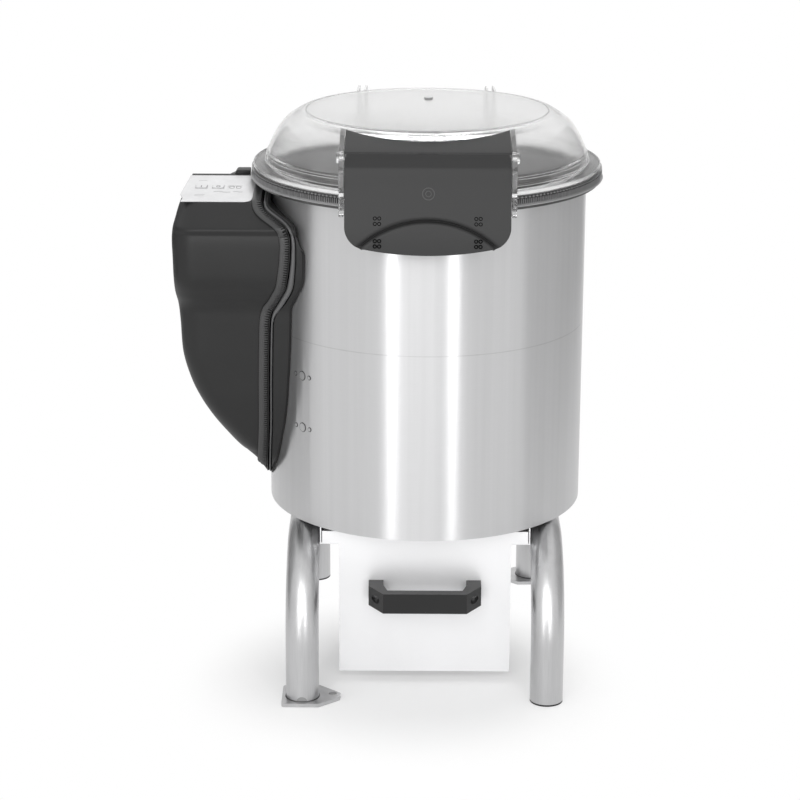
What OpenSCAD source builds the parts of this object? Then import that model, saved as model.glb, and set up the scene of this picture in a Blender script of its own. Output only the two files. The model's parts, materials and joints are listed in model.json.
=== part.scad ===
// Floor-standing electric potato peeler: steel drum on two tubular arches, clear hinged lid with
// a discharge door, side housing for the controls and a filter drawer below the drum.
// Millimetres, +Z up, -Y front. The origin is on the floor, on the drum's axis.

/* [Drum and skirt] */
// Outer diameter of the drum and of the skirt under it
drum_d = 390; // [384:1:396]
// Sheet thickness of drum, skirt and rim flange
sheet_t = 1.5; // [1:0.1:2]
// Height of the skirt, from its lower edge to the weld seam
skirt_h = 229.4; // [226:0.2:240]
// Height of the drum wall, from the weld seam to its top edge
drum_h = 180; // [176:1:190]
// Width of the rim flange outside the wall
rim_flange_w = 12; // [10:0.5:13]
// Thickness of the drum floor
floor_t = 2; // [1.5:0.5:3]
// Thickness of the base plate
base_t = 3; // [2:0.5:4]
// Width of the discharge notch
notch_w = 150; // [120:2:160]
// Height of the discharge notch, down from the drum's top edge
notch_h = 25; // [20:1:30]
// Thickness of the abrasive liner
liner_t = 3.5; // [2:0.5:5]
// Distance from the drum's top edge to the liner's top
liner_drop = 35; // [32:1:50]

/* [Rim seal] */
// Height of the ribbed rim seal
seal_h = 17; // [15:0.5:20]
// Radial width of the rim seal
seal_w = 12.7; // [11:0.1:14]
// Distance of the seal's outside from the drum wall
seal_out = 19.7; // [18:0.1:20]
// Height of the seal's top above the drum's top edge
seal_rise = 10; // [9:0.5:11]

/* [Lid] */
// Height of the dome, from brim to flat top
dome_h = 61; // [54:1:66]
// Wall of the clear lid
lid_t = 3; // [2:0.5:4]
// Height of the brim's outer edge
brim_t = 4; // [3:0.5:5]
// Width of the brim outside the dome
brim_w = 16; // [14:0.5:17]
// Diameter of the flat top
lid_top_d = 296; // [280:2:306]
// Thickness of the side cheeks
cheek_t = 6; // [4:0.5:8]
// Inner distance between the side cheeks
cheek_gap = 191.8; // [180:0.2:196]
// Thickness of a hinge ear
ear_t = 3; // [2:0.5:4]
// Distance between the middles of the two hinges
hinge_span = 165; // [150:1:180]
// Distance between the middles of a hinge's two ears
ear_pitch = 9.2; // [8.6:0.2:11]
// Diameter of the hinge pins
hinge_pin_d = 8; // [6:0.5:9]
// Distance of the hinge axis behind the drum wall
hinge_out = 27; // [26:0.5:29]
// Height of the hinge axis above the drum's top edge
hinge_rise = 30; // [28:1:34]
// Diameter of the vent plug in the lid
plug_d = 11; // [9:0.5:14]

/* [Discharge door] */
// Width of the discharge door
door_w = 190.6; // [170:0.2:191]
// Wall of the discharge door
door_t = 3.5; // [3:0.1:4]
// Depth of the grip recess
grip_depth = 2; // [1:0.1:2.2]
// Height of the door below the drum's top edge, at the middle of its lower lip
door_drop = 52; // [46:1:58]
// Corner radius of the door's front
door_corner_r = 20; // [12:1:22]
// Height of the door pivot above the drum's top edge
pivot_rise = 54; // [50:1:56]
// Distance of the door pivot behind the drum wall's front
pivot_back = 8; // [6:0.5:10]
// Diameter of the pivot pins
pivot_pin_d = 10; // [8:0.5:12]
// Rise of the grip recess above the lower lip
grip_h = 42; // [32:1:46]

/* [Legs] */
// Height of the skirt's lower edge above the floor
leg_h = 200.6; // [198:0.2:210]
// Tube diameter of the leg arches
leg_d = 40; // [38:0.5:42]
// Wall of the leg tubes
leg_wall = 2; // [1.5:0.1:3]
// Distance between the two arches
leg_gauge = 296; // [292:1:300]
// Distance between front and rear feet
leg_track = 413; // [400:1:430]
// Bend radius at the middle of the tube
leg_bend_r = 108; // [90:1:120]
// Thickness of the foot plates
foot_plate_t = 4.5; // [3:0.5:8]
// Height of the foot caps
foot_cap_h = 2; // [1.5:0.5:6]
// Diameter of the floor bolt holes
anchor_d = 9.6; // [7:0.2:11]
// Distance of a floor bolt hole inward from the tube
anchor_in = 36.5; // [34:0.5:38]

/* [Filter drawer] */
// Width of the drawer
drawer_w = 210; // [196:1:220]
// Depth of the drawer
drawer_l = 266; // [220:1:280]
// Distance of the drawer front from the drum's axis
drawer_front = 148; // [146:1:160]
// Height of the drawer front's lower edge above the floor
drawer_clear = 12; // [8:1:30]
// Height of the drawer's bottom above the floor
drawer_bottom = 32; // [26:1:60]
// Sheet thickness of the drawer
drawer_t = 1.5; // [1:0.1:2]
// Height of the rails
rail_h = 22.6; // [18:0.2:26]
// Thickness of the rails
rail_t = 1.5; // [1:0.1:2.5]
// Height of the handle bar
handle_h = 25; // [18:1:30]
// Distance that the handle stands out
handle_out = 48; // [36:1:56]
// Thickness of the handle bar
handle_bar_t = 13; // [10:0.5:16]
// Spacing of the handle screws
handle_pitch = 120; // [94:1:144]
// Length of the handle outside a screw's middle
handle_end = 8.5; // [7.5:0.1:12]
// Diameter of the holes in the filter screen
screen_hole_d = 8; // [4:0.5:12]
// Diameter of the drain spigot
drain_d = 50; // [32:1:56]
// Length of the drain spigot
drain_l = 45; // [30:1:60]

/* [Drive] */
// Diameter of the drive shaft
shaft_d = 20; // [16:1:24]
// Diameter of the peeling disc
disc_d = 372; // [360:1:374]
// Thickness of the peeling disc
disc_t = 8; // [6:0.5:12]
// Height of the waves on the peeling disc
wave_h = 9; // [6:0.5:12]
// Outer diameter of the driven pulley
pulley_d = 140; // [120:1:142]
// Outer diameter of the motor pulley
motor_pulley_d = 52; // [46:1:60]
// Diameter of the motor
motor_d = 124; // [110:1:130]
// Clearance between the motor and the drum floor
motor_room = 35.4; // [24:0.2:60]
// Diameter of the motor shaft
motor_shaft_d = 14; // [11:1:19]
// Distance from the drive shaft to the motor shaft
motor_off = 108; // [106:1:114]
// Inner diameter of the waste chute
chute_d = 67; // [60:1:68]
// Running clearance of shafts and pins in their bores, on the radius
run_gap = 0.05; // [0.02:0.01:0.1]

/* [Side housing] */
// Distance that the housing stands out from the drum
housing_out = 108.6; // [100:0.2:120]
// Width of the housing, front to back
housing_w = 260; // [240:1:270]
// Height of the housing
housing_h = 369.2; // [350:0.2:380]
// Wall of the housing
housing_t = 4; // [3:0.5:5]
// Corner radius of the housing
housing_r = 26; // [14:1:34]
// Width of the ribbed housing trim
trim_w = 10.5; // [8:0.5:14]
// Distance that the trim stands proud
trim_proud = 4; // [2:0.5:5]
// Width of the control panel
panel_w = 82; // [70:1:88]
// Depth of the control panel
panel_d = 98; // [84:1:102]
// Thickness of the control panel
panel_t = 1; // [0.6:0.1:1.5]
// Width of a key
key_w = 13; // [10:0.5:15]
// Depth of a key
key_d = 10; // [8:0.5:13]
// Travel of a key
key_travel = 1; // [0.6:0.1:1.5]
// Bore of the cable gland
gland_bore_d = 11; // [8:0.5:13]

/* [Water inlet] */
// Diameter of the inlet pipe
inlet_d = 20; // [15:1:24]
// Length of the inlet pipe outside the drum
inlet_l = 40; // [30:1:60]

/* [Hidden] */
$fn = 96;
mesh_fn = 20;
cut = 1;
seat = 0.2;
body_gap = 0.3;
skin = 0.02;

steel = [0.78, 0.79, 0.79];
dark = [0.24, 0.24, 0.25];
rubber = [0.34, 0.34, 0.35];
clear = [0.86, 0.88, 0.89, 0.4];

R = drum_d / 2;
Ri = R - sheet_t;
base_z = leg_h;
seam_z = base_z + skirt_h;
rim_z = seam_z + drum_h;
floor_top = seam_z + floor_t;
notch_z = rim_z - notch_h;

seal_r = R + seal_out;
seal_in = seal_r - seal_w;
seal_top = rim_z + seal_rise;
seal_z = seal_top - seal_h;
seal_round = seal_w * 0.42;
flange_z = rim_z - sheet_t;
front_cut = cheek_gap / 2 + cheek_t / 2;

brim_z = seal_top + body_gap;
dome_z = brim_z + brim_t * 1.6;
dome_top = dome_z + dome_h;
dome_r = R + lid_t / 6;
brim_r = dome_r + brim_w;
cheek_in = cheek_gap / 2;
cheek_out = cheek_in + cheek_t;
arm_drop = 21;
arm_z = brim_z - arm_drop;
pivot_y = -R + pivot_back;
pivot_z = rim_z + pivot_rise;
hinge_y = R + hinge_out;
hinge_z = rim_z + hinge_rise;
hinge_wall = 9;
hinge_boss_r = hinge_pin_d / 2 + hinge_wall;
door_rear_out = 14;
door_rear_r = lid_top_d / 2 + door_rear_out;
door_gap = 2;

// Dome outline from the flat top to the brim: share of the way out, share of the height
dome_shares = [
    [0, 1], [0.12, 0.985], [0.34, 0.89], [0.57, 0.755], [0.78, 0.525], [0.885, 0.36], [0.947, 0.245],
    [1, 0]
];

function lerp(a, b, t) = a + (b - a) * t;
function unit(v) = v / norm(v);
function spline(p0, p1, p2, p3, t) = (p1 * 2 + (p2 - p0) * t + (p0 * 2 - p1 * 5 + p2 * 4 - p3) * t * t
    + (p1 * 3 - p0 - p2 * 3 + p3) * t * t * t) / 2;
function smooth(pts, n) = [
    for (i = [0:len(pts) - 2], j = [0:n - 1])
        spline(pts[max(i - 1, 0)], pts[i], pts[i + 1], pts[min(i + 2, len(pts) - 1)], j / n),
    pts[len(pts) - 1]
];
function fillet(a, p, b, r, n) = let(
        u = unit(a - p), w = unit(b - p), half = acos(u * w) / 2, c = p + unit(u + w) * r / sin(half),
        p1 = p + u * r / tan(half), p2 = p + w * r / tan(half), a1 = atan2(p1.y - c.y, p1.x - c.x),
        a2 = atan2(p2.y - c.y, p2.x - c.x), d = (a2 - a1 + 540) % 360 - 180)
    [for (i = [0:n]) c + r * [cos(a1 + d * i / n), sin(a1 + d * i / n)]];
function rounded(pts, r, n = 5) = [
    for (i = [0:len(pts) - 1])
        let(k = len(pts), ri = is_list(r) ? r[i] : r)
            each ri > 0 ? fillet(pts[(i + k - 1) % k], pts[i], pts[(i + 1) % k], ri, n) : [pts[i]]
];

module ring(r_out, r_in, h) {
    difference() {
        cylinder(r = r_out, h = h);
        translate([0, 0, -cut]) cylinder(r = r_in, h = h + 2 * cut);
    }
}

module along_x(x0, x1, pts) {
    translate([x0, 0, 0]) rotate([90, 0, 90]) linear_extrude(x1 - x0) polygon(pts);
}

module along_y(y0, y1, pts) {
    translate([0, y1, 0]) rotate([90, 0, 0]) linear_extrude(y1 - y0) polygon(pts);
}

module rod_x(x0, x1, y, z, r) {
    translate([x0, y, z]) rotate([0, 90, 0]) cylinder(r = r, h = x1 - x0);
}

module rod_y(y0, y1, x, z, r) {
    translate([x, y1, z]) rotate([90, 0, 0]) cylinder(r = r, h = y1 - y0);
}

module both_sides() {
    children();
    mirror([1, 0, 0]) children();
}

// Fixings on the skirt: their way round from the housing's edge, and two heights above the skirt's lower edge
fixing_off = 29;
fixing_share = 0.79;
fixing_angle = 180 + asin(housing_w * fixing_share / drum_d) + fixing_off / R * 180 / PI;
fixing_rows = [185.4, 120.4];
fixing_d = 10;
fixing_dot_d = 4;
fixing_pitch = 13;
fixing_head = 0.8;

inlet_drop = 15;
inlet_z = rim_z - liner_drop - inlet_drop;
inlet_r = inlet_d / 2;
inlet_flange_w = 9;
inlet_flange_r = inlet_r + inlet_flange_w;
inlet_flange_t = 4;

module base_skirt() {
    color(steel) difference() {
        translate([0, 0, base_z]) ring(R, Ri, skirt_h);
        for (h = fixing_rows, s = [-1, 0, 1]) fixing_at(h, s) {
            translate([-sheet_t - cut, 0, 0]) rotate([0, 90, 0])
                cylinder(r = fixing_dot_d / 4, h = sheet_t + 2 * cut);
        }
    }
}

module fixing_at(h, s) {
    rotate([0, 0, fixing_angle + s * fixing_pitch / R * 180 / PI]) translate([R, 0, base_z + h]) children();
}

module skirt_fixings() {
    color(steel) for (h = fixing_rows, s = [-1, 0, 1]) fixing_at(h, s) {
        rotate([0, 90, 0]) cylinder(r = (s == 0 ? fixing_d : fixing_dot_d) / 2, h = fixing_head);
        translate([-sheet_t, 0, 0]) rotate([0, 90, 0]) cylinder(r = fixing_dot_d / 4, h = sheet_t);
    }
}

module drum_wall() {
    color(steel) difference() {
        union() {
            translate([0, 0, seam_z]) ring(R, Ri, drum_h);
            difference() {
                translate([0, 0, flange_z]) ring(R + rim_flange_w, Ri, sheet_t);
                front_block(front_cut, flange_z - cut, rim_z + cut, R);
            }
        }
        translate([-notch_w / 2, -2 * R, notch_z]) cube([notch_w, 1.5 * R, notch_h + cut]);
        rod_y(Ri - sheet_t * 4, R + cut, 0, inlet_z, inlet_r);
    }
}

// Block in front of the drum, between two heights and outside a radius
module front_block(half, z0, z1, r) {
    difference() {
        translate([-half, -2 * R, z0]) cube([2 * half, 2 * R, z1 - z0]);
        translate([0, 0, z0 - cut]) cylinder(r = r, h = z1 - z0 + 2 * cut);
    }
}

module drum_floor() {
    color(steel) difference() {
        translate([0, 0, seam_z]) cylinder(r = Ri - seat, h = floor_t);
        translate([0, 0, seam_z - cut]) cylinder(r = bearing_r + seat, h = floor_t + 2 * cut);
        translate([chute_x, chute_y, seam_z - cut]) cylinder(r = chute_d / 2, h = floor_t + 2 * cut);
    }
}

module abrasive_liner() {
    color([0.45, 0.44, 0.42]) difference() {
        translate([0, 0, floor_top]) ring(Ri - seat, Ri - liner_t, rim_z - liner_drop - floor_top);
        rod_y(Ri - liner_t - 4 * sheet_t, R, 0, inlet_z, inlet_r + inlet_d / 20);
    }
}

module rim_seal() {
    slot_r = R + rim_flange_w + seat;
    outline = rounded([[seal_in, seal_z], [seal_r, seal_z], [seal_r, seal_top], [seal_in, seal_top]],
        [seal_round / 4, seal_round / 2, seal_round, seal_round / 2], 6);
    color(rubber) difference() {
        rotate_extrude() difference() {
            polygon(outline);
            translate([seal_in - cut, flange_z - seat]) square([slot_r - seal_in + cut, sheet_t + 2 * seat]);
        }
        translate([-front_cut, -2 * R, seal_z - cut]) cube([2 * front_cut, 2 * R, seal_h + 2 * cut]);
    }
}

module base_plate() {
    color(steel) difference() {
        translate([0, 0, base_z]) cylinder(r = Ri - seat, h = base_t);
        translate([chute_x, chute_y, base_z - cut]) cylinder(r = chute_out_r + seat, h = base_t + 2 * cut);
    }
}

// Legs
leg_r = leg_d / 2;
leg_x = leg_gauge / 2;
leg_y = leg_track / 2;
leg_run_z = base_z - leg_r;
leg_bend_z = leg_run_z - leg_bend_r;
foot_notch_r = leg_d * 0.16;
anchor_back = leg_d * 0.14;
// Foot plate corners around the tube, as shares of the tube's diameter
plate_shares = [
    [-0.62, 0.75], [-0.62, -0.625], [0.505, -0.625], [1.13, -0.1], [1.16, 0.19], [0.47, 0.8]
];

module tube(h) {
    ring(leg_r, leg_r - leg_wall, h);
}

module leg_half(foot_z) {
    translate([0, -leg_y, 0]) {
        translate([0, 0, foot_z]) tube(leg_bend_z - foot_z);
        translate([0, leg_bend_r, leg_bend_z]) rotate([90, 0, -90]) rotate_extrude(angle = 90)
            translate([leg_bend_r, 0]) difference() {
                circle(r = leg_r);
                circle(r = leg_r - leg_wall);
            }
    }
    translate([0, -leg_y + leg_bend_r, leg_run_z]) rotate([-90, 0, 0]) tube(leg_y - leg_bend_r);
}

module leg() {
    difference() {
        union() {
            leg_half(foot_plate_t);
            mirror([0, 1, 0]) leg_half(foot_cap_h);
        }
        rod_y(-leg_y - leg_d, -leg_y, 0, foot_plate_t, foot_notch_r);
    }
}

module left_leg() {
    color(steel) translate([-leg_x, 0, 0]) leg();
}

module right_leg() {
    color(steel) rotate([0, 0, 180]) translate([-leg_x, 0, 0]) leg();
}

module foot_plates() {
    color(steel) for (a = [0, 180]) rotate([0, 0, a]) translate([-leg_x, -leg_y, 0]) difference() {
        linear_extrude(foot_plate_t) polygon(rounded([for (p = plate_shares) p * leg_d], leg_d * 0.1));
        translate([anchor_in, anchor_back, -cut]) cylinder(r = anchor_d / 2, h = foot_plate_t + 2 * cut);
    }
}

module foot_caps() {
    color(dark) for (a = [0, 180]) rotate([0, 0, a]) translate([leg_x, -leg_y, 0]) {
        cylinder(r = leg_r, h = foot_cap_h);
        cylinder(r = leg_r - leg_wall - seat, h = foot_cap_h + leg_d * 0.4);
    }
}

// Drawer and its rails
rail_out = leg_x - leg_r;
rail_lip = rail_out - drawer_w / 2 - 3 * body_gap;
rail_z = base_z - rail_h;
rail_top_w = rail_lip * 0.45;
rail_front = drawer_front - drawer_t * 2;
rail_rear = drawer_l - drawer_front - drawer_t * 2;
ear_out = rail_out - rail_t - 4 * body_gap;
drawer_rim = rail_z + rail_t + body_gap + drawer_t;
front_gap = 5;
front_top = base_z - front_gap;
tray_half = drawer_w / 2;
tray_front = -drawer_front + drawer_t;
tray_rear = drawer_l - drawer_front;
handle_z = 120;
screen_z = 88;
screen_t = 1.5;
screen_pitch = 20;
ledge_w = 8;
screen_edge = 4;
drain_z = drawer_bottom + drain_d / 2 + 2 * drawer_t;
drain_wall = 2;
handle_screw_r = 2.5;
handle_head_r = 4.5;
handle_head_t = 2.5;

module drawer_rails() {
    color(steel) both_sides() along_y(-rail_front, rail_rear, [
        [rail_out, rail_z], [rail_out, base_z], [rail_out - rail_top_w, base_z],
        [rail_out - rail_top_w, base_z - rail_t], [rail_out - rail_t, base_z - rail_t],
        [rail_out - rail_t, rail_z + rail_t], [rail_out - rail_lip, rail_z + rail_t],
        [rail_out - rail_lip, rail_z]
    ]);
}

module drawer_panel() {
    w = tray_half;
    ear_z = drawer_rim - drawer_t;
    color([0.92, 0.93, 0.93]) difference() {
        along_y(-drawer_front, tray_front, [
            [-w, drawer_clear], [w, drawer_clear], [w, ear_z], [ear_out, ear_z], [ear_out, front_top],
            [-ear_out, front_top], [-ear_out, ear_z], [-w, ear_z]
        ]);
        for (s = [-1, 1])
            rod_y(-drawer_front - cut, tray_front + cut, s * handle_pitch / 2, handle_z, handle_screw_r);
    }
}

module drawer_tray() {
    w = tray_half;
    color([0.92, 0.93, 0.93]) difference() {
        union() {
            translate([-w, tray_front, drawer_bottom]) difference() {
                cube([2 * w, tray_rear - tray_front, drawer_rim - drawer_bottom]);
                translate([drawer_t, -cut, drawer_t])
                    cube([2 * (w - drawer_t), tray_rear - tray_front - drawer_t + cut, drawer_rim]);
            }
            both_sides() translate([w - drawer_t, tray_front, drawer_rim - drawer_t])
                cube([ear_out - w + drawer_t, tray_rear - tray_front, drawer_t]);
            both_sides() translate([w - drawer_t - ledge_w, tray_front, screen_z - drawer_t])
                cube([ledge_w + drawer_t / 2, tray_rear - tray_front - drawer_t, drawer_t]);
        }
        rod_y(tray_rear - 3 * drawer_t, tray_rear + cut, 0, drain_z, drain_d / 2 - drain_wall);
    }
}

module filter_screen() {
    w = tray_half - drawer_t - screen_edge / 4;
    y0 = tray_front + screen_edge / 2;
    y1 = tray_rear - drawer_t - screen_edge / 2;
    nx = floor((2 * w - 2 * ledge_w - screen_pitch / 2) / screen_pitch);
    ny = floor((y1 - y0 - screen_pitch) / screen_pitch);
    color(steel) difference() {
        translate([-w, y0, screen_z]) cube([2 * w, y1 - y0, screen_t]);
        for (i = [0:nx - 1], j = [0:ny - 1])
            translate([(i - (nx - 1) / 2) * screen_pitch, (y0 + y1) / 2, 0])
                translate([0, (j - (ny - 1) / 2) * screen_pitch, 0])
                translate([0, 0, screen_z - cut]) cylinder(r = screen_hole_d / 2, h = screen_t + 2 * cut);
    }
}

module drain_spigot() {
    color(steel) difference() {
        rod_y(tray_rear, tray_rear + drain_l, 0, drain_z, drain_d / 2);
        rod_y(tray_rear - cut, tray_rear + drain_l + cut, 0, drain_z, drain_d / 2 - drain_wall);
    }
}

// Bridge handle: outline from above, with oblique ends
module drawer_handle() {
    a = handle_pitch / 2 + handle_end;
    b = a - handle_h * 0.72;
    y0 = -drawer_front;
    y1 = y0 - handle_out;
    foot = a - handle_end * 2.1;
    outer = [
        [-a, y0], [-a, y0 - handle_out * 0.42], [-b, y1], [b, y1], [a, y0 - handle_out * 0.42], [a, y0],
        [foot, y0], [foot, y0 - handle_out * 0.36], [b - handle_h * 0.2, y1 + handle_bar_t],
        [-b + handle_h * 0.2, y1 + handle_bar_t], [-foot, y0 - handle_out * 0.36], [-foot, y0]
    ];
    color(dark) difference() {
        translate([0, 0, handle_z - handle_h / 2]) linear_extrude(handle_h) polygon(outer);
        for (s = [-1, 1]) {
            rod_y(y1 - cut, y0 + cut, s * handle_pitch / 2, handle_z, handle_screw_r);
            rod_y(y1 - cut, y0 - handle_out * 0.3, s * handle_pitch / 2, handle_z, handle_head_r + seat);
        }
    }
}

module handle_screws() {
    y0 = -drawer_front - handle_out * 0.3;
    color(steel) for (s = [-1, 1]) {
        rod_y(y0 - handle_head_t, y0, s * handle_pitch / 2, handle_z, handle_head_r);
        rod_y(y0, tray_front, s * handle_pitch / 2, handle_z, handle_screw_r);
    }
}

// Lid, its hinges and its door
ear_x = [hinge_span / 2 - ear_pitch / 2, hinge_span / 2 + ear_pitch / 2];
tongue_t = ear_pitch - ear_t - 2 * body_gap;
bracket_h = 58;
seal_clear = 1.2;

function hinge_arc(r, a0, a1, n = 8) = [
    for (i = [0:n]) let(a = lerp(a0, a1, i / n)) [hinge_y + r * cos(a), hinge_z + r * sin(a)]
];

module hinge_brackets() {
    r = hinge_boss_r;
    out = sqrt(seal_r * seal_r - pow(ear_x[0], 2)) + seal_clear;
    color(steel) both_sides() difference() {
        along_x(hinge_span / 2 - tongue_t / 2, hinge_span / 2 + tongue_t / 2, concat(
            [[R / 2, seal_z - seal_clear - bracket_h], [hinge_y - r, seal_z - seal_clear - bracket_h],
                [hinge_y + r, seal_z - bracket_h / 2]],
            hinge_arc(r, 0, 180),
            [[max(hinge_y - r, out), seal_z + seal_clear], [out, seal_z - seal_clear]],
            [[R / 2, seal_z - seal_clear]]
        ));
        translate([0, 0, base_z]) cylinder(r = R + seat, h = rim_z);
        rod_x(R / 4, R, hinge_y, hinge_z, hinge_pin_d / 2 + run_gap);
    }
}

module hinge_pins() {
    color(steel) both_sides() {
        rod_x(ear_x[0] - ear_t, ear_x[1] + ear_t, hinge_y, hinge_z, hinge_pin_d / 2);
        rod_x(ear_x[1] + ear_t / 2, ear_x[1] + ear_t * 1.5, hinge_y, hinge_z, hinge_pin_d * 0.8);
    }
}

function dome_outline(d) = [
    for (p = smooth(dome_shares, 3))
        [lerp(lid_top_d / 2, dome_r, p[0]) - d * p[0], dome_z + (dome_h - d) * p[1]]
];

module dome_solid(d) {
    rotate_extrude() polygon(concat([[0, brim_z - cut]], [[0, dome_top - d]], dome_outline(d),
        [[dome_r - d, brim_z - cut]]));
}

module dome_shell() {
    rings = [0.25, 0.45, 0.65];
    difference() {
        union() {
            intersection() {
                dome_solid(0);
                translate([0, 0, brim_z]) cylinder(r = 2 * R, h = dome_top);
            }
            rotate_extrude() polygon([
                [dome_r - lid_t, brim_z], [brim_r, brim_z], [brim_r, brim_z + brim_t],
                [dome_r - lid_t / 2, dome_z]
            ]);
            for (s = rings) translate([0, 0, brim_z]) ring(dome_r + brim_w * s, dome_r + brim_w * (s - 0.08),
                dome_z - brim_z);
        }
        dome_solid(lid_t);
    }
}

cheek_rear = 90;
cheek_reach = 22;
cheek_wall = 6.5;
cheek_radii = [0, 0, 3, 8, 10, 8, 1, 1, 0];

module cheek_plate() {
    arm_front = pivot_y - cheek_reach;
    arm_rear = -sqrt(seal_r * seal_r - cheek_in * cheek_in) - seal_clear;
    boss = pivot_pin_d / 2 + cheek_wall;
    along_x(cheek_in, cheek_out, rounded([
        [-cheek_rear, brim_z], [-cheek_rear, dome_top], [-lid_top_d * 0.385, dome_top - lid_t / 2],
        [pivot_y + boss * 0.6, pivot_z + boss], [pivot_y - boss * 0.6, pivot_z + boss * 0.8],
        [arm_front, pivot_z - boss], [arm_front, arm_z], [arm_rear, arm_z], [arm_rear, brim_z]
    ], cheek_radii, 4));
}

module lid_ear() {
    r = hinge_boss_r;
    outline = concat(
        [[R / 2, dome_z + lid_t], [hinge_y - r, brim_z + seal_clear]],
        hinge_arc(r, -90, 0),
        [[hinge_y + r * 0.8, hinge_z + dome_h * 0.55], [hinge_y - r * 0.2, hinge_z + dome_h * 0.64],
            [lid_top_d * 0.45, dome_top - lid_t / 2], [R / 2, dome_top - lid_t / 2]]
    );
    for (x = ear_x) along_x(x - ear_t / 2, x + ear_t / 2, outline);
}

module lid_dome() {
    color(clear) difference() {
        union() {
            difference() {
                dome_shell();
                front_block(cheek_in, brim_z - cut, dome_top + cut, door_rear_r - door_gap);
            }
            difference() {
                both_sides() {
                    cheek_plate();
                    lid_ear();
                }
                translate([0, 0, -skin]) dome_solid(lid_t);
            }
        }
        rod_x(-R, R, pivot_y, pivot_z, pivot_pin_d / 2 + run_gap);
        rod_x(-R, R, hinge_y, hinge_z, hinge_pin_d / 2);
        translate([plug_x, plug_y, dome_top - 2 * lid_t]) cylinder(r = plug_d / 4, h = 3 * lid_t);
    }
}

plug_x = 2;
plug_y = 73;

module lid_plug() {
    color([0.75, 0.76, 0.77]) translate([plug_x, plug_y, dome_top]) {
        cylinder(r = plug_d / 2, h = lid_t / 2);
        translate([0, 0, -lid_t * 1.5]) cylinder(r = plug_d / 4, h = lid_t * 1.5);
        translate([0, 0, -lid_t * 2]) cylinder(r = plug_d * 0.4, h = lid_t);
    }
}

// Discharge door
door_half = door_w / 2;
lip_z = rim_z - door_drop;
door_slope = 0.268;
door_rise = 7;
door_sag = 11.6;
door_boss = 10;
door_boss_wall = 4;
door_flange = 11;
lip_lift = 3.5;
// Front of the door under the pivot: share of the reach in front of the pivot, share of the drop
door_shares = [[0.37, 0.12], [0.5, 0.3], [0.71, 0.56], [0.89, 0.8], [1, 1.02]];
door_reach = 38;
knob_r = 9;
knob_t = 5;

function rev(v) = [for (i = [len(v) - 1:-1:0]) v[i]];

// Side outline of the door at a depth under its outer face, from the rear edge to the lower lip
function door_face(d) = smooth(concat(
    [for (y = [-cheek_rear, pivot_y + knob_r]) [y, pivot_z + door_rise + door_slope * (y - pivot_y) - d]],
    [[pivot_y - door_rise + d * 0.7, pivot_z + lid_t / 3 - d * 0.7]],
    [for (p = door_shares) [pivot_y - door_reach * p[0] + d, lerp(pivot_z, lip_z, p[1])]]
), 3);

// Front outline of the door above a lower lip
module door_front(z0) {
    span = door_half * 0.6;
    lip = [for (i = [-3:3]) [span * i / 3, z0 + door_sag * pow(span * i / 3 / door_half, 2)]];
    along_y(-2 * R, 0, rounded(
        concat([[-door_half, dome_top], [-door_half, z0 + door_sag]], lip,
            [[door_half, z0 + door_sag], [door_half, dome_top]]),
        concat([0, door_corner_r], [for (p = lip) 0], [door_corner_r, 0])));
}

module discharge_door() {
    grip_half = door_half * 0.8;
    grip_sag = grip_h * 0.67;
    grip_r = (grip_half * grip_half + grip_sag * grip_sag) / (2 * grip_sag);
    color(dark) difference() {
        intersection() {
            union() {
                along_x(-door_half, door_half, concat(door_face(0), rev(door_face(door_t))));
                intersection() {
                    both_sides() {
                        along_x(door_half - door_t, door_half,
                            concat(door_face(door_t / 2), rev(door_face(door_flange))));
                        rod_x(door_half - door_boss, door_half, pivot_y, pivot_z,
                            pivot_pin_d / 2 + door_boss_wall);
                    }
                    along_x(-door_half, door_half, concat(door_face(0), [[-cheek_rear, lip_z - cut]]));
                }
            }
            door_front(lip_z);
        }
        translate([0, 0, lip_z - cut]) cylinder(r = door_rear_r, h = dome_top);
        intersection() {
            along_x(-door_half, door_half, concat(door_face(-cut), rev(door_face(grip_depth))));
            rod_y(-2 * R, 0, 0, lip_z + grip_h - grip_r, grip_r);
            door_front(lip_z + lip_lift);
        }
        rod_x(-R, R, pivot_y, pivot_z, pivot_pin_d / 2);
    }
}

module door_pins() {
    color(dark) both_sides() {
        rod_x(door_half - door_boss, cheek_out + knob_t, pivot_y, pivot_z, pivot_pin_d / 2);
        rod_x(cheek_out + body_gap, cheek_out + knob_t, pivot_y, pivot_z, knob_r);
    }
}

// Drive
shaft_r = shaft_d / 2;
bearing_w = 11;
bearing_r = shaft_r + bearing_w;
bearing_t = 14;
bearing_wall = 6;
bearing_flange = 22;
plate_lift = 32;
plate_z = base_z + base_t + plate_lift;
plate_t = 4;
plate_top = plate_z + plate_t;
pulley_lift = 5;
pulley_z = base_z + base_t + pulley_lift;
pulley_t = 22;
groove = 8;
groove_t = 13;
belt_gap = 0.3;
belt_t = 6.5;
motor_h = seam_z - plate_top - motor_room;
motor_x = motor_off * cos(45);
motor_y = motor_off * sin(45);
disc_lift = 20;
disc_z = floor_top + disc_lift;
shaft_nose = 6;
shaft_top = disc_z + disc_t + shaft_nose;
plate_room = 3;
chute_x = -45;
chute_y = -100;
chute_out_r = chute_d / 2 + sheet_t;
hub_r = shaft_d * 1.5;
wave_n = 4;
wave_r = 15;
paddle_t = 4;
knob_h = 12;

module drive_shaft() {
    color(steel) translate([0, 0, pulley_z - cut]) cylinder(r = shaft_r, h = shaft_top - pulley_z);
}

module bearing_housing() {
    color([0.5, 0.51, 0.52]) {
        translate([0, 0, plate_top]) ring(bearing_r + bearing_wall, bearing_r, seam_z - plate_top);
        translate([0, 0, seam_z - bearing_wall])
            ring(bearing_r + bearing_flange, bearing_r + bearing_wall - skin, bearing_wall);
    }
}

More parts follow.
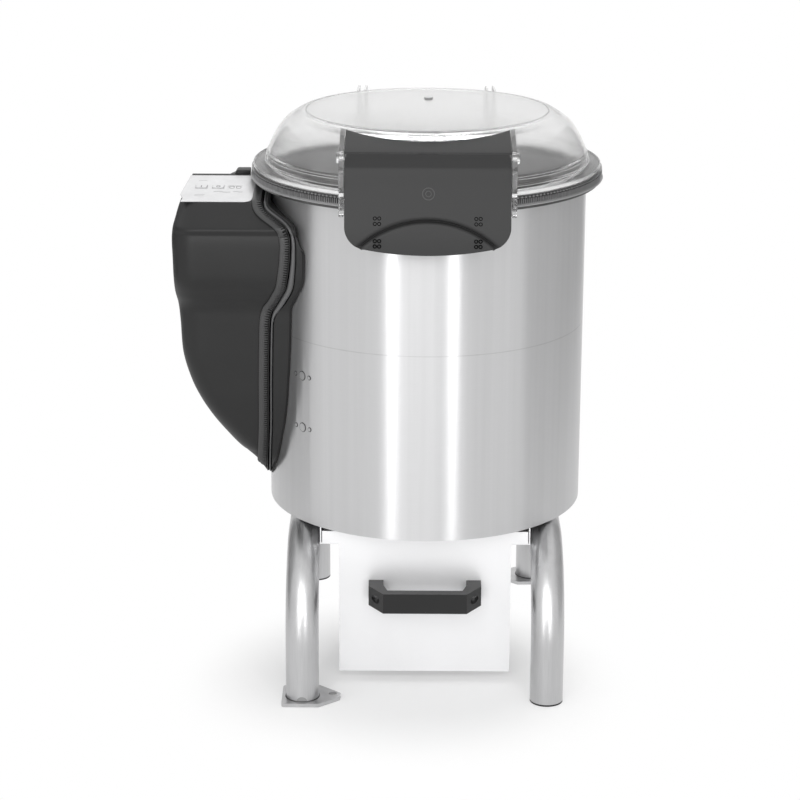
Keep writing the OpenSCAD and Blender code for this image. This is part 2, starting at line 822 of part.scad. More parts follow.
module bearings() {
    color(steel) for (z = [plate_top, seam_z - bearing_wall - bearing_t])
        translate([0, 0, z]) ring(bearing_r, shaft_r + run_gap, bearing_t);
}

module shaft_seal() {
    color(dark) translate([0, 0, seam_z - bearing_wall])
        ring(bearing_r, shaft_r + run_gap, bearing_wall + 4 * floor_t);
}

module pulley(r, bore, h) {
    m = (h - groove_t) / 2;
    rotate_extrude() polygon([
        [bore, 0], [r, 0], [r, m * 0.6], [r - groove, m], [r - groove, h - m], [r, h - m * 0.6], [r, h],
        [bore, h]
    ]);
}

module driven_pulley() {
    color([0.55, 0.56, 0.57]) translate([0, 0, pulley_z]) pulley(pulley_d / 2, shaft_r, pulley_t);
}

module motor_pulley() {
    color([0.55, 0.56, 0.57]) translate([motor_x, motor_y, pulley_z])
        pulley(motor_pulley_d / 2, motor_shaft_d / 2, pulley_t);
}

module motor_shaft() {
    color(steel) translate([motor_x, motor_y, pulley_z - cut])
        cylinder(r = motor_shaft_d / 2, h = plate_top + motor_shaft_d - pulley_z);
}

module drive_belt() {
    r1 = pulley_d / 2 - groove + belt_gap;
    r2 = motor_pulley_d / 2 - groove + belt_gap;
    color(dark) translate([0, 0, pulley_z + (pulley_t - groove_t) / 2 + belt_gap])
        linear_extrude(groove_t - 2 * belt_gap) difference() {
            belt_line(r1 + belt_t, r2 + belt_t);
            belt_line(r1, r2);
        }
}

module belt_line(r1, r2) {
    hull() {
        circle(r = r1, $fn = 64);
        translate([motor_x, motor_y]) circle(r = r2, $fn = 32);
    }
}

module motor_plate() {
    color(steel) difference() {
        translate([0, 0, plate_z]) cylinder(r = Ri - seat, h = plate_t);
        translate([0, 0, plate_z - cut]) cylinder(r = shaft_r + plate_room, h = plate_t + 2 * cut);
        translate([motor_x, motor_y, plate_z - cut]) cylinder(r = motor_shaft_d, h = plate_t + 2 * cut);
        translate([chute_x, chute_y, plate_z - cut]) cylinder(r = chute_out_r + seat, h = plate_t + 2 * cut);
    }
}

module motor_body() {
    r = motor_d / 2;
    cowl = motor_h * 0.22;
    color([0.42, 0.44, 0.46]) translate([motor_x, motor_y, plate_top]) difference() {
        union() {
            cylinder(r = r, h = cowl / 2);
            cylinder(r = r * 0.93, h = motor_h - cowl);
            translate([0, 0, motor_h - cowl]) cylinder(r = r, h = cowl);
            for (a = [0:30:330]) rotate([0, 0, a])
                translate([r * 0.9, -sheet_t, cowl / 4]) cube([r * 0.09, 2 * sheet_t, motor_h - cowl]);
        }
        translate([0, 0, -cut]) cylinder(r = motor_shaft_d / 2 + run_gap, h = motor_shaft_d * 1.5 + cut);
    }
}

module waste_chute() {
    low = base_z - sheet_t;
    color(steel) translate([chute_x, chute_y, low]) ring(chute_out_r, chute_d / 2, seam_z - low);
}

module peeling_disc() {
    r = disc_d / 2;
    bevel = liner_t * 4;
    color([0.36, 0.35, 0.34]) difference() {
        union() {
            translate([0, 0, disc_z]) rotate_extrude() polygon([
                [0, 0], [r, 0], [r, disc_t + wave_h], [r - bevel / 2, disc_t + wave_h],
                [r - 2 * bevel, disc_t], [0, disc_t]
            ]);
            translate([0, 0, disc_z - disc_t * 1.5]) cylinder(r = hub_r, h = disc_t * 1.5 + disc_t);
            intersection() {
                for (i = [0:wave_n - 1]) rotate([0, 0, 360 * (i + 0.5) / wave_n])
                    rod_x(hub_r * 0.9, r - 1.2 * bevel, 0, disc_z + disc_t + wave_h - wave_r, wave_r);
                translate([0, 0, disc_z]) cylinder(r = r, h = disc_t * 4);
            }
            for (a = [0, 180]) rotate([0, 0, a])
                translate([hub_r * 0.9, -paddle_t / 2, floor_top + 3 * floor_t])
                    cube([r * 0.94 - hub_r, paddle_t, disc_z - floor_top - 3 * floor_t + skin]);
        }
        translate([0, 0, floor_top]) cylinder(r = shaft_r, h = disc_z);
    }
}

module disc_knob() {
    z0 = disc_z + disc_t;
    color(dark) difference() {
        translate([0, 0, z0]) rotate_extrude() polygon(concat(
            [[0, 0], [hub_r * 0.8, 0]],
            [for (i = [0:6]) [hub_r * 0.8 * cos(15 * i), knob_h * (0.3 + 0.7 * sin(15 * i))]]
        ));
        translate([0, 0, z0 - cut]) cylinder(r = shaft_r, h = shaft_top - z0 + cut);
    }
}

module water_inlet() {
    hole = inlet_r * 0.7;
    color(steel) difference() {
        union() {
            rod_y(Ri - 2 * sheet_t, R + inlet_l, 0, inlet_z, inlet_r);
            difference() {
                rod_y(R - sheet_t, R + inlet_flange_t, 0, inlet_z, inlet_flange_r);
                translate([0, 0, seam_z]) cylinder(r = R + seat, h = drum_h);
            }
        }
        rod_y(Ri - 3 * sheet_t, R + inlet_l + cut, 0, inlet_z, hole);
    }
}

// Side housing
housing_drop = 6.8;
slice_t = 0.2;
housing_top = rim_z - housing_drop;
housing_z = housing_top - housing_h;
lid_room = 1.8;
lid_clear_r = max(seal_r, brim_r) + lid_room;
lid_clear_z = seal_z - seal_clear;
panel_y = -45;
ridge_share = 0.115;
crease_share = 0.896;
drop_share = 0.967;
edge_share = 0.723;
panel_tilt = atan(housing_h * (1 - drop_share) / (housing_w / 2 * (ridge_share + edge_share)));
switch_w = 15;
switch_d = 20;
switch_h = 13;
board_drop = 14;
board_t = 1.6;
gland_r = 14;
gland_l = 26;

// Side outline: share of the height, share of the reach outside the drum, share of the half width
housing_shares = [
    [0.005, 0.02, 0.3], [0.068, 0.135, 0.5], [0.111, 0.31, 0.575], [0.166, 0.457, 0.645],
    [0.23, 0.61, 0.71], [0.295, 0.74, 0.75], [0.364, 0.843, 0.775], [0.458, 0.925, 0.805],
    [0.566, 0.945, 0.825], [0.626, 0.962, 0.84], [0.672, 0.985, 0.915], [0.722, 0.992, 0.985],
    [0.788, 0.996, 1], [0.869, 1, 1], [0.923, 0.962, 1], [0.96, 0.925, 1], [1, 0.857, 1]
];
// Parting line between the two shells: share of the height, share of the drum radius
parting_shares = [
    [-0.03, 1.006], [0.054, 1], [0.152, 0.99], [0.235, 0.984], [0.38, 0.978], [0.484, 0.975],
    [0.576, 0.971], [0.606, 0.958], [0.631, 0.936], [0.66, 0.9], [0.7, 0.868], [0.737, 0.851],
    [0.771, 0.843], [0.837, 0.838], [0.879, 0.842], [0.902, 0.868], [0.919, 0.9], [0.95, 0.958],
    [0.982, 0.996], [1.01, 1.04], [1.051, 1.06]
];

function housing_x(s) = -R - housing_out * s;
function parting(dx) = [for (p = parting_shares) [-R * p[1] + dx, housing_z + housing_h * p[0]]];

module housing_slice(i, inset) {
    p = housing_shares[i];
    w = housing_w / 2 * p[2] - inset;
    x = housing_x(p[1]) + inset;
    r = min(housing_r - inset, w * 0.7, (-x - R * 0.8) * 0.9);
    z = housing_z + housing_h * p[0] + (i == 0 ? inset : 0);
    translate([0, 0, z]) linear_extrude(slice_t)
        polygon(rounded([[x, -w], [-R / 2, -w], [-R / 2, w], [x, w]], [r, 0, 0, r]));
}

module housing_form(inset) {
    w = housing_w / 2;
    low = housing_z - housing_h;
    crease_z = housing_z + housing_h * crease_share;
    edge = [-w * edge_share, housing_z + housing_h * drop_share];
    ridge = [w * ridge_share, housing_top];
    front = lerp(edge, [-w, crease_z], 1.5);
    rear = lerp(ridge, [w, crease_z], 1.5);
    intersection() {
        for (i = [0:len(housing_shares) - 2]) hull() {
            housing_slice(i, inset);
            housing_slice(i + 1, inset);
        }
        translate([-2 * R, 0, 0]) rotate([90, 0, 90]) linear_extrude(2 * R) offset(delta = -inset)
            polygon([[front.x, low], front, edge, ridge, rear, [rear.x, low]]);
    }
}

module housing_strip(dx0, dx1) {
    along_y(-R, R, concat(parting(dx0), rev(parting(dx1))));
}

module lid_clearance() {
    translate([0, 0, lid_clear_z]) cylinder(r = lid_clear_r, h = housing_h);
}

module on_panel() {
    z = housing_z + housing_h * drop_share + (panel_y + housing_w / 2 * edge_share) * tan(panel_tilt);
    translate([housing_x(0.513), panel_y, z]) rotate([panel_tilt, 0, 0]) children();
}

key_x = [-22, -1.5];
key_y = 5;
display_x = 19;
display_w = 17;

module panel_block(x, y, w, d, z0, z1) {
    translate([x - w / 2, y - d / 2, z0]) cube([w, d, z1 - z0]);
}

module key_windows(z0, z1, gap) {
    for (x = key_x) panel_block(x, key_y, key_w + 2 * gap, key_d + 2 * gap, z0, z1);
    panel_block(display_x, key_y, display_w, key_d, z0, z1);
}

// Panel corners, as shares of its half width and half depth, and their radii
panel_shares = [[-1, -0.755], [-0.975, -1], [0.927, -1], [0.976, 1], [-0.902, 1]];
panel_radii = [2, 1, 10, 6, 6];

module panel_outline() {
    polygon(rounded([for (p = panel_shares) [panel_w / 2 * p[0], panel_d / 2 * p[1]]], panel_radii));
}

module housing_cover() {
    color(dark) difference() {
        intersection() {
            housing_form(0);
            along_y(-R, R, concat(parting(-body_gap), [[-2 * R, housing_top + R], [-2 * R, housing_z - R]]));
        }
        housing_form(housing_t);
        intersection() {
            difference() {
                housing_form(-trim_proud * 2);
                housing_form(housing_t / 2);
            }
            housing_strip(-trim_w - body_gap, cut);
        }
        lid_clearance();
        on_panel() {
            key_windows(-2 * housing_t, housing_t, body_gap * 2);
        }
        switch_block(body_gap);
        rod_y(0, R, gland_x, gland_z, gland_r * 0.7);
    }
}

module switch_block(gap) {
    x = -lid_clear_r - switch_w / 2 - body_gap;
    translate([x - switch_w / 2 - gap, housing_w / 2 * ridge_share - gap, housing_top + housing_t - switch_h])
        cube([switch_w + 2 * gap, switch_d + 2 * gap, switch_h]);
}

module lid_switch_cap() {
    color(dark) switch_block(0);
}

module housing_back() {
    color(dark) difference() {
        union() {
            intersection() {
                housing_form(0);
                along_y(-R, R, concat(parting(body_gap), [[0, housing_top + R], [0, housing_z - R]]));
            }
            intersection() {
                housing_form(housing_t + body_gap);
                translate([0, 0, housing_z]) cylinder(r = R + housing_t, h = housing_h);
            }
        }
        intersection() {
            housing_form(housing_t);
            difference() {
                translate([-2 * R, -R, housing_z]) cube([2 * R, 2 * R, 2 * housing_h]);
                translate([0, 0, housing_z - cut]) cylinder(r = R + housing_t, h = 2 * housing_h);
            }
        }
        translate([0, 0, housing_z - housing_h]) cylinder(r = R + seat, h = 3 * housing_h);
        lid_clearance();
    }
}

module housing_seal() {
    color(rubber) difference() {
        intersection() {
            housing_form(-trim_proud);
            housing_strip(-trim_w, 0);
        }
        housing_form(housing_t / 2);
        translate([0, 0, housing_z - housing_h]) cylinder(r = R + seat, h = 3 * housing_h);
        lid_clearance();
    }
}

module control_panel() {
    color([0.9, 0.91, 0.91]) difference() {
        on_panel() difference() {
            linear_extrude(panel_t) panel_outline();
            key_windows(-cut, panel_t + cut, body_gap);
        }
        lid_clearance();
    }
}

module timer_display() {
    color([0.2, 0.21, 0.22]) on_panel()
        panel_block(display_x, key_y, display_w - 2 * seat, key_d - 2 * seat, -housing_t / 2,
            panel_t + seat);
}

module key(x) {
    on_panel() {
        panel_block(x, key_y, key_w, key_d, -housing_t / 4, panel_t + key_travel);
        translate([x, key_y, board_t * 2 + key_travel + body_gap - board_drop])
            cylinder(r = key_d / 4, h = board_drop - board_t * 2 - key_travel - body_gap - housing_t / 4);
    }
}

module key_start() {
    color([0.95, 0.95, 0.95]) key(key_x[0]);
}

module key_stop() {
    color([0.95, 0.95, 0.95]) key(key_x[1]);
}

module control_board() {
    w = panel_w * 0.8;
    d = panel_d * 0.5;
    color([0.2, 0.4, 0.28]) on_panel() {
        panel_block(0, key_y, w, d, -board_drop, board_t - board_drop);
        for (x = key_x)
            panel_block(x, key_y, key_d * 0.6, key_d * 0.6, -board_drop, board_t * 2 - board_drop);
        for (x = [-1, 1], y = [-1, 1]) translate([x * w * 0.44, key_y + y * d * 0.42, -board_drop])
            cylinder(r = board_t * 2, h = board_drop - housing_t);
    }
}

electrics_x = -R - housing_t - body_gap;
electrics_t = 2;
electrics_w = 110;
electrics_h = 210;
electrics_z = housing_z + housing_h * 0.26;
gland_x = housing_x(0.31);
gland_z = housing_z + housing_h * 0.505;
face_x = electrics_x - electrics_t;

module electrics_plate() {
    color(steel) translate([face_x, -electrics_w / 2, electrics_z])
        cube([electrics_t, electrics_w, electrics_h]);
}

module contactor() {
    w = electrics_w * 0.41;
    h = electrics_h * 0.33;
    color([0.3, 0.31, 0.33]) translate([face_x - w, -electrics_w * 0.45, electrics_z + electrics_h * 0.6]) {
        cube([w, w, h]);
        translate([w * 0.25, 0, -h * 0.12]) cube([w * 0.75, w, h * 1.24]);
    }
}

module capacitor() {
    r = electrics_w * 0.16;
    color([0.85, 0.85, 0.84]) translate([face_x - r, electrics_w * 0.25, electrics_z + electrics_h * 0.12]) {
        cylinder(r = r, h = electrics_h * 0.4);
        translate([0, -r * 0.4, electrics_h * 0.1]) cube([r, r * 0.8, electrics_h * 0.1]);
    }
}

module terminal_block() {
    w = electrics_w * 0.4;
    color([0.88, 0.88, 0.86])
        translate([face_x - w / 2, -electrics_w * 0.45, electrics_z + electrics_h * 0.2]) difference() {
            cube([w / 2, w, w * 0.6]);
            for (i = [0:3]) translate([-cut, w * (0.125 + 0.25 * i), w * 0.3]) rotate([0, 90, 0])
                cylinder(r = w * 0.07, h = w / 4);
        }
}

module cable_gland() {
    y = housing_w / 2 * 0.82;
    color(dark) difference() {
        union() {
            rod_y(y - gland_l / 2, y + gland_l, gland_x, gland_z, gland_r * 0.68);
            rod_y(y + gland_l * 0.12, y + gland_l * 0.35, gland_x, gland_z, gland_r);
            translate([gland_x, y + gland_l * 0.9, gland_z]) rotate([90, 0, 0])
                cylinder(r = gland_r, h = gland_l * 0.45, $fn = 6);
        }
        rod_y(y - gland_l, y + 2 * gland_l, gland_x, gland_z, gland_bore_d / 2);
    }
}

base_skirt();
drum_wall();
drum_floor();
abrasive_liner();
rim_seal();
base_plate();
left_leg();
right_leg();
foot_plates();
foot_caps();
drawer_rails();
hinge_brackets();
skirt_fixings();
water_inlet();
housing_back();
housing_cover();
housing_seal();
control_panel();
timer_display();
lid_switch_cap();
control_board();
electrics_plate();
contactor();
capacitor();
terminal_block();
cable_gland();
motor_plate();
motor_body();
bearing_housing();
bearings();
shaft_seal();
drive_belt();
waste_chute();
drive_shaft();
driven_pulley();
peeling_disc();
disc_knob();
motor_shaft();
motor_pulley();
lid_dome();
lid_plug();
hinge_pins();
discharge_door();
door_pins();
drawer_panel();
drawer_tray();
filter_screen();
drain_spigot();
drawer_handle();
handle_screws();
key_start();
key_stop();
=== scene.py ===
import json
import math

import bmesh
import bpy
from mathutils import Matrix, Vector


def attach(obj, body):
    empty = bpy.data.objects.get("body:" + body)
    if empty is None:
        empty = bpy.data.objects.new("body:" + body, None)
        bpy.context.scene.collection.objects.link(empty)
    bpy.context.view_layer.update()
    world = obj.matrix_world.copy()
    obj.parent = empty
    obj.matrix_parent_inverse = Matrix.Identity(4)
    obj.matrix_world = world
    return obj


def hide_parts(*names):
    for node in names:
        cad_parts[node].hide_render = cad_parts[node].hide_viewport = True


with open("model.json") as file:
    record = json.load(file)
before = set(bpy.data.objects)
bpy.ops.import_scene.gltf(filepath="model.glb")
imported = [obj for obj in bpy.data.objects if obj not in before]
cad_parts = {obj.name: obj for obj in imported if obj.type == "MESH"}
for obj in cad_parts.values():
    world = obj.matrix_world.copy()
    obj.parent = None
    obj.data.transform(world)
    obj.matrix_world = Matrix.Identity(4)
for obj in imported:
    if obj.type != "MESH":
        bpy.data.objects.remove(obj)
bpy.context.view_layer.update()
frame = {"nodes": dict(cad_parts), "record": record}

NODES = frame["nodes"]
SLOT = {s["node"]: s["material_slot"] for s in frame["record"]["subparts"]}

# Shapes are written in millimetres and become metres in make; R is the drum's outer radius

MM = 0.001
R = 195.0


# Curves and outlines

def lerp(a, b, t):
    return a + (b - a) * t


def smoothstep(a, b, x):
    t = min(1.0, max(0.0, (x - a) / (b - a)))
    return t * t * (3 - 2 * t)


def spline(pts, n):
    """Smooth curve through the points, with n steps from each to the next."""
    out = []
    for i in range(len(pts) - 1):
        p0, p1, p2, p3 = pts[max(i - 1, 0)], pts[i], pts[i + 1], pts[min(i + 2, len(pts) - 1)]
        for j in range(n):
            t = j / n
            out.append([
                0.5 * (2 * b + (c - a) * t + (2 * a - 5 * b + 4 * c - d) * t * t
                       + (3 * b - a - 3 * c + d) * t ** 3)
                for a, b, c, d in zip(p0, p1, p2, p3)
            ])
    out.append(list(pts[-1]))
    return out


def table(pts, x, k=0, v=1):
    """Value of column v at x of column k, straight between the rows."""
    if x <= pts[0][k]:
        return pts[0][v]
    for a, b in zip(pts, pts[1:]):
        if x <= b[k]:
            return lerp(a[v], b[v], (x - a[k]) / max(b[k] - a[k], 1e-9))
    return pts[-1][v]


def rounded(pts, radii, n, closed=True):
    """Outline with each corner rounded by its own radius, in n steps."""
    out = []
    k = len(pts)
    for i, (p, r) in enumerate(zip(pts, radii)):
        if r <= 0 or (not closed and i in (0, k - 1)):
            out.append(tuple(p))
            continue
        p = Vector(p)
        u = (Vector(pts[i - 1]) - p).normalized()
        w = (Vector(pts[(i + 1) % k]) - p).normalized()
        half = math.acos(max(-1, min(1, u.dot(w)))) / 2
        c = p + (u + w).normalized() * r / math.sin(half)
        d1, d2 = p + u * r / math.tan(half) - c, p + w * r / math.tan(half) - c
        a1 = math.atan2(d1.y, d1.x)
        d = (math.atan2(d2.y, d2.x) - a1 + 3 * math.pi) % (2 * math.pi) - math.pi
        for j in range(n + 1):
            out.append((c.x + r * math.cos(a1 + d * j / n), c.y + r * math.sin(a1 + d * j / n)))
    return out


def turns(n):
    """Angles of n even steps round a circle."""
    return [2 * math.pi * i / n for i in range(n)]


def ellipse(x, y, rx, ry, n):
    return [(x + rx * math.cos(a), y + ry * math.sin(a)) for a in turns(n)]


def bar(x, y, w, h):
    """Rectangle about a centre."""
    x0, x1, y0, y1 = x - w / 2, x + w / 2, y - h / 2, y + h / 2
    return [(x0, y0), (x1, y0), (x1, y1), (x0, y1)]


# Meshes

def shade(ob, angle=40):
    """Smooth shading, sharp at edges that turn by more than the angle."""
    me = ob.data
    me.polygons.foreach_set("use_smooth", [True] * len(me.polygons))
    me.set_sharp_from_angle(angle=math.radians(angle))
    me.update()


def link(name, data):
    ob = bpy.data.objects.new(name, data)
    bpy.context.scene.collection.objects.link(ob)
    return ob


def make(name, verts, faces, mat, body=None, angle=40):
    """Mesh object from millimetre points, riding on a body."""
    me = bpy.data.meshes.new(name)
    me.from_pydata([(x * MM, y * MM, z * MM) for x, y, z in verts], [], faces)
    bm = bmesh.new()
    bm.from_mesh(me)
    bmesh.ops.remove_doubles(bm, verts=bm.verts, dist=1e-6)
    bmesh.ops.dissolve_degenerate(bm, dist=1e-6, edges=bm.edges)
    bmesh.ops.recalc_face_normals(bm, faces=bm.faces)
    bm.to_mesh(me)
    bm.free()
    ob = link(name, me)
    me.materials.append(mat)
    shade(ob, angle)
    if body:
        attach(ob, body)
    return ob


def grid_faces(rows, cols, wrap=False):
    """Four-sided faces between rows of points; wrap joins the end of each row to its start."""
    out = []
    for i in range(rows - 1):
        for j in range(cols if wrap else cols - 1):
            a, b = i * cols + j, i * cols + (j + 1) % cols
            out.append((a, b, b + cols, a + cols))
    return out


def loop_faces(rows, cols, wrap_rows=False):
    """Faces of closed loops joined one after another, with caps where the row of loops is open."""
    faces = grid_faces(rows, cols, True)
    last = (rows - 1) * cols
    if wrap_rows:
        return faces + [(last + j, last + (j + 1) % cols, (j + 1) % cols, j) for j in range(cols)]
    return faces + [tuple(range(cols))[::-1], tuple(range(last, last + cols))]


def prism_faces(n, k=0):
    """Faces between two outlines of n points, the first of which starts at point k."""
    ends = [tuple(range(k, k + n))[::-1], tuple(range(k + n, k + 2 * n))]
    return ends + [(k + j, k + (j + 1) % n, k + n + (j + 1) % n, k + n + j) for j in range(n)]


def apply_mod(ob, kind, **settings):
    """Gives an object the mesh that a modifier makes of it."""
    m = ob.modifiers.new(kind, kind)
    for key, value in settings.items():
        setattr(m, key, value)
    dg = bpy.context.evaluated_depsgraph_get()
    me = bpy.data.meshes.new_from_object(ob.evaluated_get(dg), depsgraph=dg)
    ob.modifiers.clear()
    old = ob.data
    ob.data = me
    me.name = ob.name
    bpy.data.meshes.remove(old)


def boolean(ob, other, op):
    """Joins or cuts an object with another one, which goes."""
    apply_mod(ob, "BOOLEAN", object=other, operation=op, solver="EXACT")
    bpy.data.objects.remove(other)


def round_edges(ob, width, segments, limit):
    apply_mod(ob, "BEVEL", width=width * MM, segments=segments, limit_method="ANGLE",
              angle_limit=math.radians(limit))
    shade(ob)


def prism(name, outline, ends, axis, mat, body=None, bevel=0.0, segments=3):
    """Outline pushed along an axis: x takes (y, z) points, y takes (x, z), z takes (x, y)."""
    at = "xyz".index(axis)
    verts = [(*p[:at], t, *p[at:]) for t in sorted(ends) for p in outline]
    ob = make(name, verts, prism_faces(len(outline)), mat, body)
    if bevel:
        round_edges(ob, bevel, segments, 35)
    return ob


def lathe(name, profile, n, mat, body=None):
    """Closed (r, z) profile turned about the drum's axis."""
    verts = [(r * math.cos(a), r * math.sin(a), z) for a in turns(n) for r, z in profile]
    return make(name, verts, loop_faces(n, len(profile), True), mat, body)


def tube_along(name, path, radius, n, mat, body):
    """Round bar along a path of millimetre points."""
    verts = []
    last = len(path) - 1
    up = Vector((0, 0, 1))
    for i, p in enumerate(path):
        t = (Vector(path[min(i + 1, last)]) - Vector(path[max(i - 1, 0)])).normalized()
        s = t.cross(up)
        s = s.normalized() if s.length > 1e-4 else Vector((1, 0, 0))
        w = s.cross(t)
        verts += [tuple(Vector(p) + s * radius * math.cos(a) + w * radius * math.sin(a)) for a in turns(n)]
    return make(name, verts, loop_faces(len(path), n), mat, body, 50)


def sheet(name, rows, wall, angle, mat, body):
    """Sheet through rows of points, with a wall on its inner side."""
    verts = [v for row in rows for v in row]
    ob = make(name, verts, grid_faces(len(rows), len(rows[0])), mat, body)
    apply_mod(ob, "SOLIDIFY", thickness=wall * MM, offset=-1.0, use_even_offset=False)
    shade(ob, angle)
    return ob


# Shader nodes

def fill(nt, n, values):
    """Sets inputs of a shader node, each to a value or from the output of another node."""
    for key, value in values.items():
        if isinstance(value, bpy.types.NodeSocket):
            nt.links.new(value, n.inputs[key])
        else:
            n.inputs[key].default_value = value
    return n


def node(nt, kind, values=None):
    return fill(nt, nt.nodes.new("ShaderNode" + kind), values or {})


def calc(nt, op, a, b=0.0):
    n = node(nt, "Math", {0: a, 1: b})
    n.operation = op
    return n.outputs[0]


def blend(nt, a, share, b):
    """Sum of two factors, the first by its share and the second by the rest."""
    return calc(nt, "ADD", calc(nt, "MULTIPLY", a, share), calc(nt, "MULTIPLY", b, 1 - share))


def remap(nt, fac, lo, hi):
    """Value between lo and hi for a factor between 0 and 1."""
    return node(nt, "MapRange", {"Value": fac, "To Min": lo, "To Max": hi}).outputs[0]


def place(nt):
    """Place on the object, in metres."""
    return node(nt, "TexCoord").outputs["Object"]


def scaled(nt, scale):
    return node(nt, "Mapping", {"Vector": place(nt), "Scale": scale}).outputs["Vector"]


def noise(nt, vec, scale, detail=3.0, rough=0.5):
    values = {"Vector": vec, "Scale": scale, "Detail": detail, "Roughness": rough}
    return node(nt, "TexNoise", values).outputs["Fac"]


def bump(nt, height, strength, dist):
    return node(nt, "Bump", {"Strength": strength, "Distance": dist, "Height": height}).outputs["Normal"]


def ramp(nt, fac, first, last):
    """Colour between two stops, each of them a position and a colour."""
    n = node(nt, "ValToRGB", {"Fac": fac})
    for element, (position, colour) in zip(n.color_ramp.elements, (first, last)):
        element.position = position
        element.color = (*colour, 1)
    return n.outputs["Color"]


def rays(nt, *kinds):
    """1 for rays of the named kinds, 0 for the others."""
    path = node(nt, "LightPath").outputs
    fac = path[kinds[0]]
    for kind in kinds[1:]:
        fac = calc(nt, "MAXIMUM", fac, path[kind])
    return fac


def mix_out(nt, output, fac, first, second):
    """Sends two shaders to an output, the second one where the factor is 1."""
    mix = node(nt, "MixShader", {0: fac, 1: first.outputs[0], 2: second.outputs[0]})
    fill(nt, output, {"Surface": mix.outputs[0]})


# Materials

def tint(v):
    """Colour as it is given, or a grey from one number."""
    return v if isinstance(v, tuple) else (v, v, v * 1.01)


def new_material(name):
    mat = bpy.data.materials.new(name)
    mat.use_nodes = True
    return mat, mat.node_tree, mat.node_tree.nodes["Principled BSDF"]


def brushed(nt, bs, fine, streak, low, high, rough, strength=0.06):
    """Roughness and relief of a metal from its fine grain; its tone from grain and streaks."""
    fill(nt, bs, {"Roughness": remap(nt, fine, rough * 0.8, rough * 1.2),
                  "Normal": bump(nt, fine, strength, 0.0004)})
    return ramp(nt, blend(nt, fine, 0.35, streak), (0.3, tint(low)), (0.7, tint(high)))


def steel(name, low, high, rough, grain=(1200, 1200, 1200), streaks=(14, 14, 5), strength=0.06, metal=1.0):
    mat, nt, bs = new_material(name)
    fine = noise(nt, scaled(nt, grain), 1.0, 2)
    streak = noise(nt, scaled(nt, streaks), 1.0)
    tone = brushed(nt, bs, fine, streak, low, high, rough, strength)
    fill(nt, bs, {"Base Color": tone, "Metallic": metal})
    return mat


def object_xyz(nt):
    return node(nt, "SeparateXYZ", {0: place(nt)}).outputs


def drum_coords(nt, across, along):
    """Coordinates on the drum: height times across, turn about the axis times along."""
    x, y, z = object_xyz(nt)
    height = calc(nt, "MULTIPLY", z, across)
    turn = calc(nt, "MULTIPLY", calc(nt, "ARCTAN2", x, y), along)
    return node(nt, "CombineXYZ", {0: height, 1: turn}).outputs[0]


WELD_Z, WELD_W, WELD_WAVER, WELD_TONE = 430.0, 1.3, 0.7, 0.76


def weld_line(nt, tone):
    """Thin darker line round the drum where its upper and lower sheets meet."""
    off = calc(nt, "ABSOLUTE", calc(nt, "SUBTRACT", object_xyz(nt)[2], WELD_Z * MM))
    patch = noise(nt, drum_coords(nt, 1.0, 14), 1.0, 2)
    off = calc(nt, "ADD", off, calc(nt, "MULTIPLY", patch, WELD_WAVER * MM))
    dark = node(nt, "MapRange", {"Value": off, "From Max": WELD_W * MM, "To Min": WELD_TONE})
    scale = nt.nodes.new("ShaderNodeVectorMath")
    scale.operation = "SCALE"
    return fill(nt, scale, {0: tone, "Scale": dark.outputs[0]}).outputs[0]


def drum_steel():
    """Steel brushed round the drum."""
    mat, nt, bs = new_material("drum_steel")
    fine = noise(nt, drum_coords(nt, 2600, 9), 1.0, 2)
    streak = noise(nt, drum_coords(nt, 1.1, 17), 1.0, 4, 0.6)
    tone = weld_line(nt, brushed(nt, bs, fine, streak, 0.55, 0.60, 0.33))
    way = node(nt, "Tangent")
    way.direction_type = "RADIAL"
    way.axis = "Z"
    fill(nt, bs, {"Base Color": tone, "Metallic": 0.87, "Anisotropic": 0.95,
                  "Anisotropic Rotation": 0.25, "Tangent": way.outputs[0]})
    return mat


def plastic(name, low, high, rough, grain=900, strength=0.12, coat=0.0, spec=0.5, spots=7):
    mat, nt, bs = new_material(name)
    fine = noise(nt, place(nt), grain, 2)
    cloud = noise(nt, place(nt), spots)
    fill(nt, bs, {
        "Base Color": ramp(nt, blend(nt, fine, 0.3, cloud), (0.3, tint(low)), (0.7, tint(high))),
        "Roughness": remap(nt, cloud, rough * 0.88, rough * 1.12),
        "Normal": bump(nt, fine, strength, 0.0003), "Specular IOR Level": spec, "Coat Weight": coat})
    return mat


def clear(name, tone, rough, ior=1.3, coat=0.2):
    """Clear plastic, a little milky, that lets light through to what is under it."""
    mat, nt, bs = new_material(name)
    fill(nt, bs, {
        "Base Color": (tone, tone, tone, 1), "Transmission Weight": 0.97, "IOR": ior,
        "Roughness": remap(nt, noise(nt, place(nt), 12), rough, rough * 1.3),
        "Coat Weight": coat, "Coat Roughness": 0.03})
    through = node(nt, "BsdfTransparent", {"Color": (0.93, 0.93, 0.93, 1)})
    mix_out(nt, nt.nodes["Material Output"], rays(nt, "Is Shadow Ray", "Is Diffuse Ray"), bs, through)
    return mat


def grit(name, low, high):
    mat, nt, bs = new_material(name)
    cell = node(nt, "TexVoronoi", {"Vector": place(nt), "Scale": 420}).outputs["Distance"]
    fill(nt, bs, {"Base Color": ramp(nt, cell, (0.1, high), (0.6, low)), "Roughness": 0.9,
                  "Normal": bump(nt, cell, 0.6, 0.001)})
    return mat


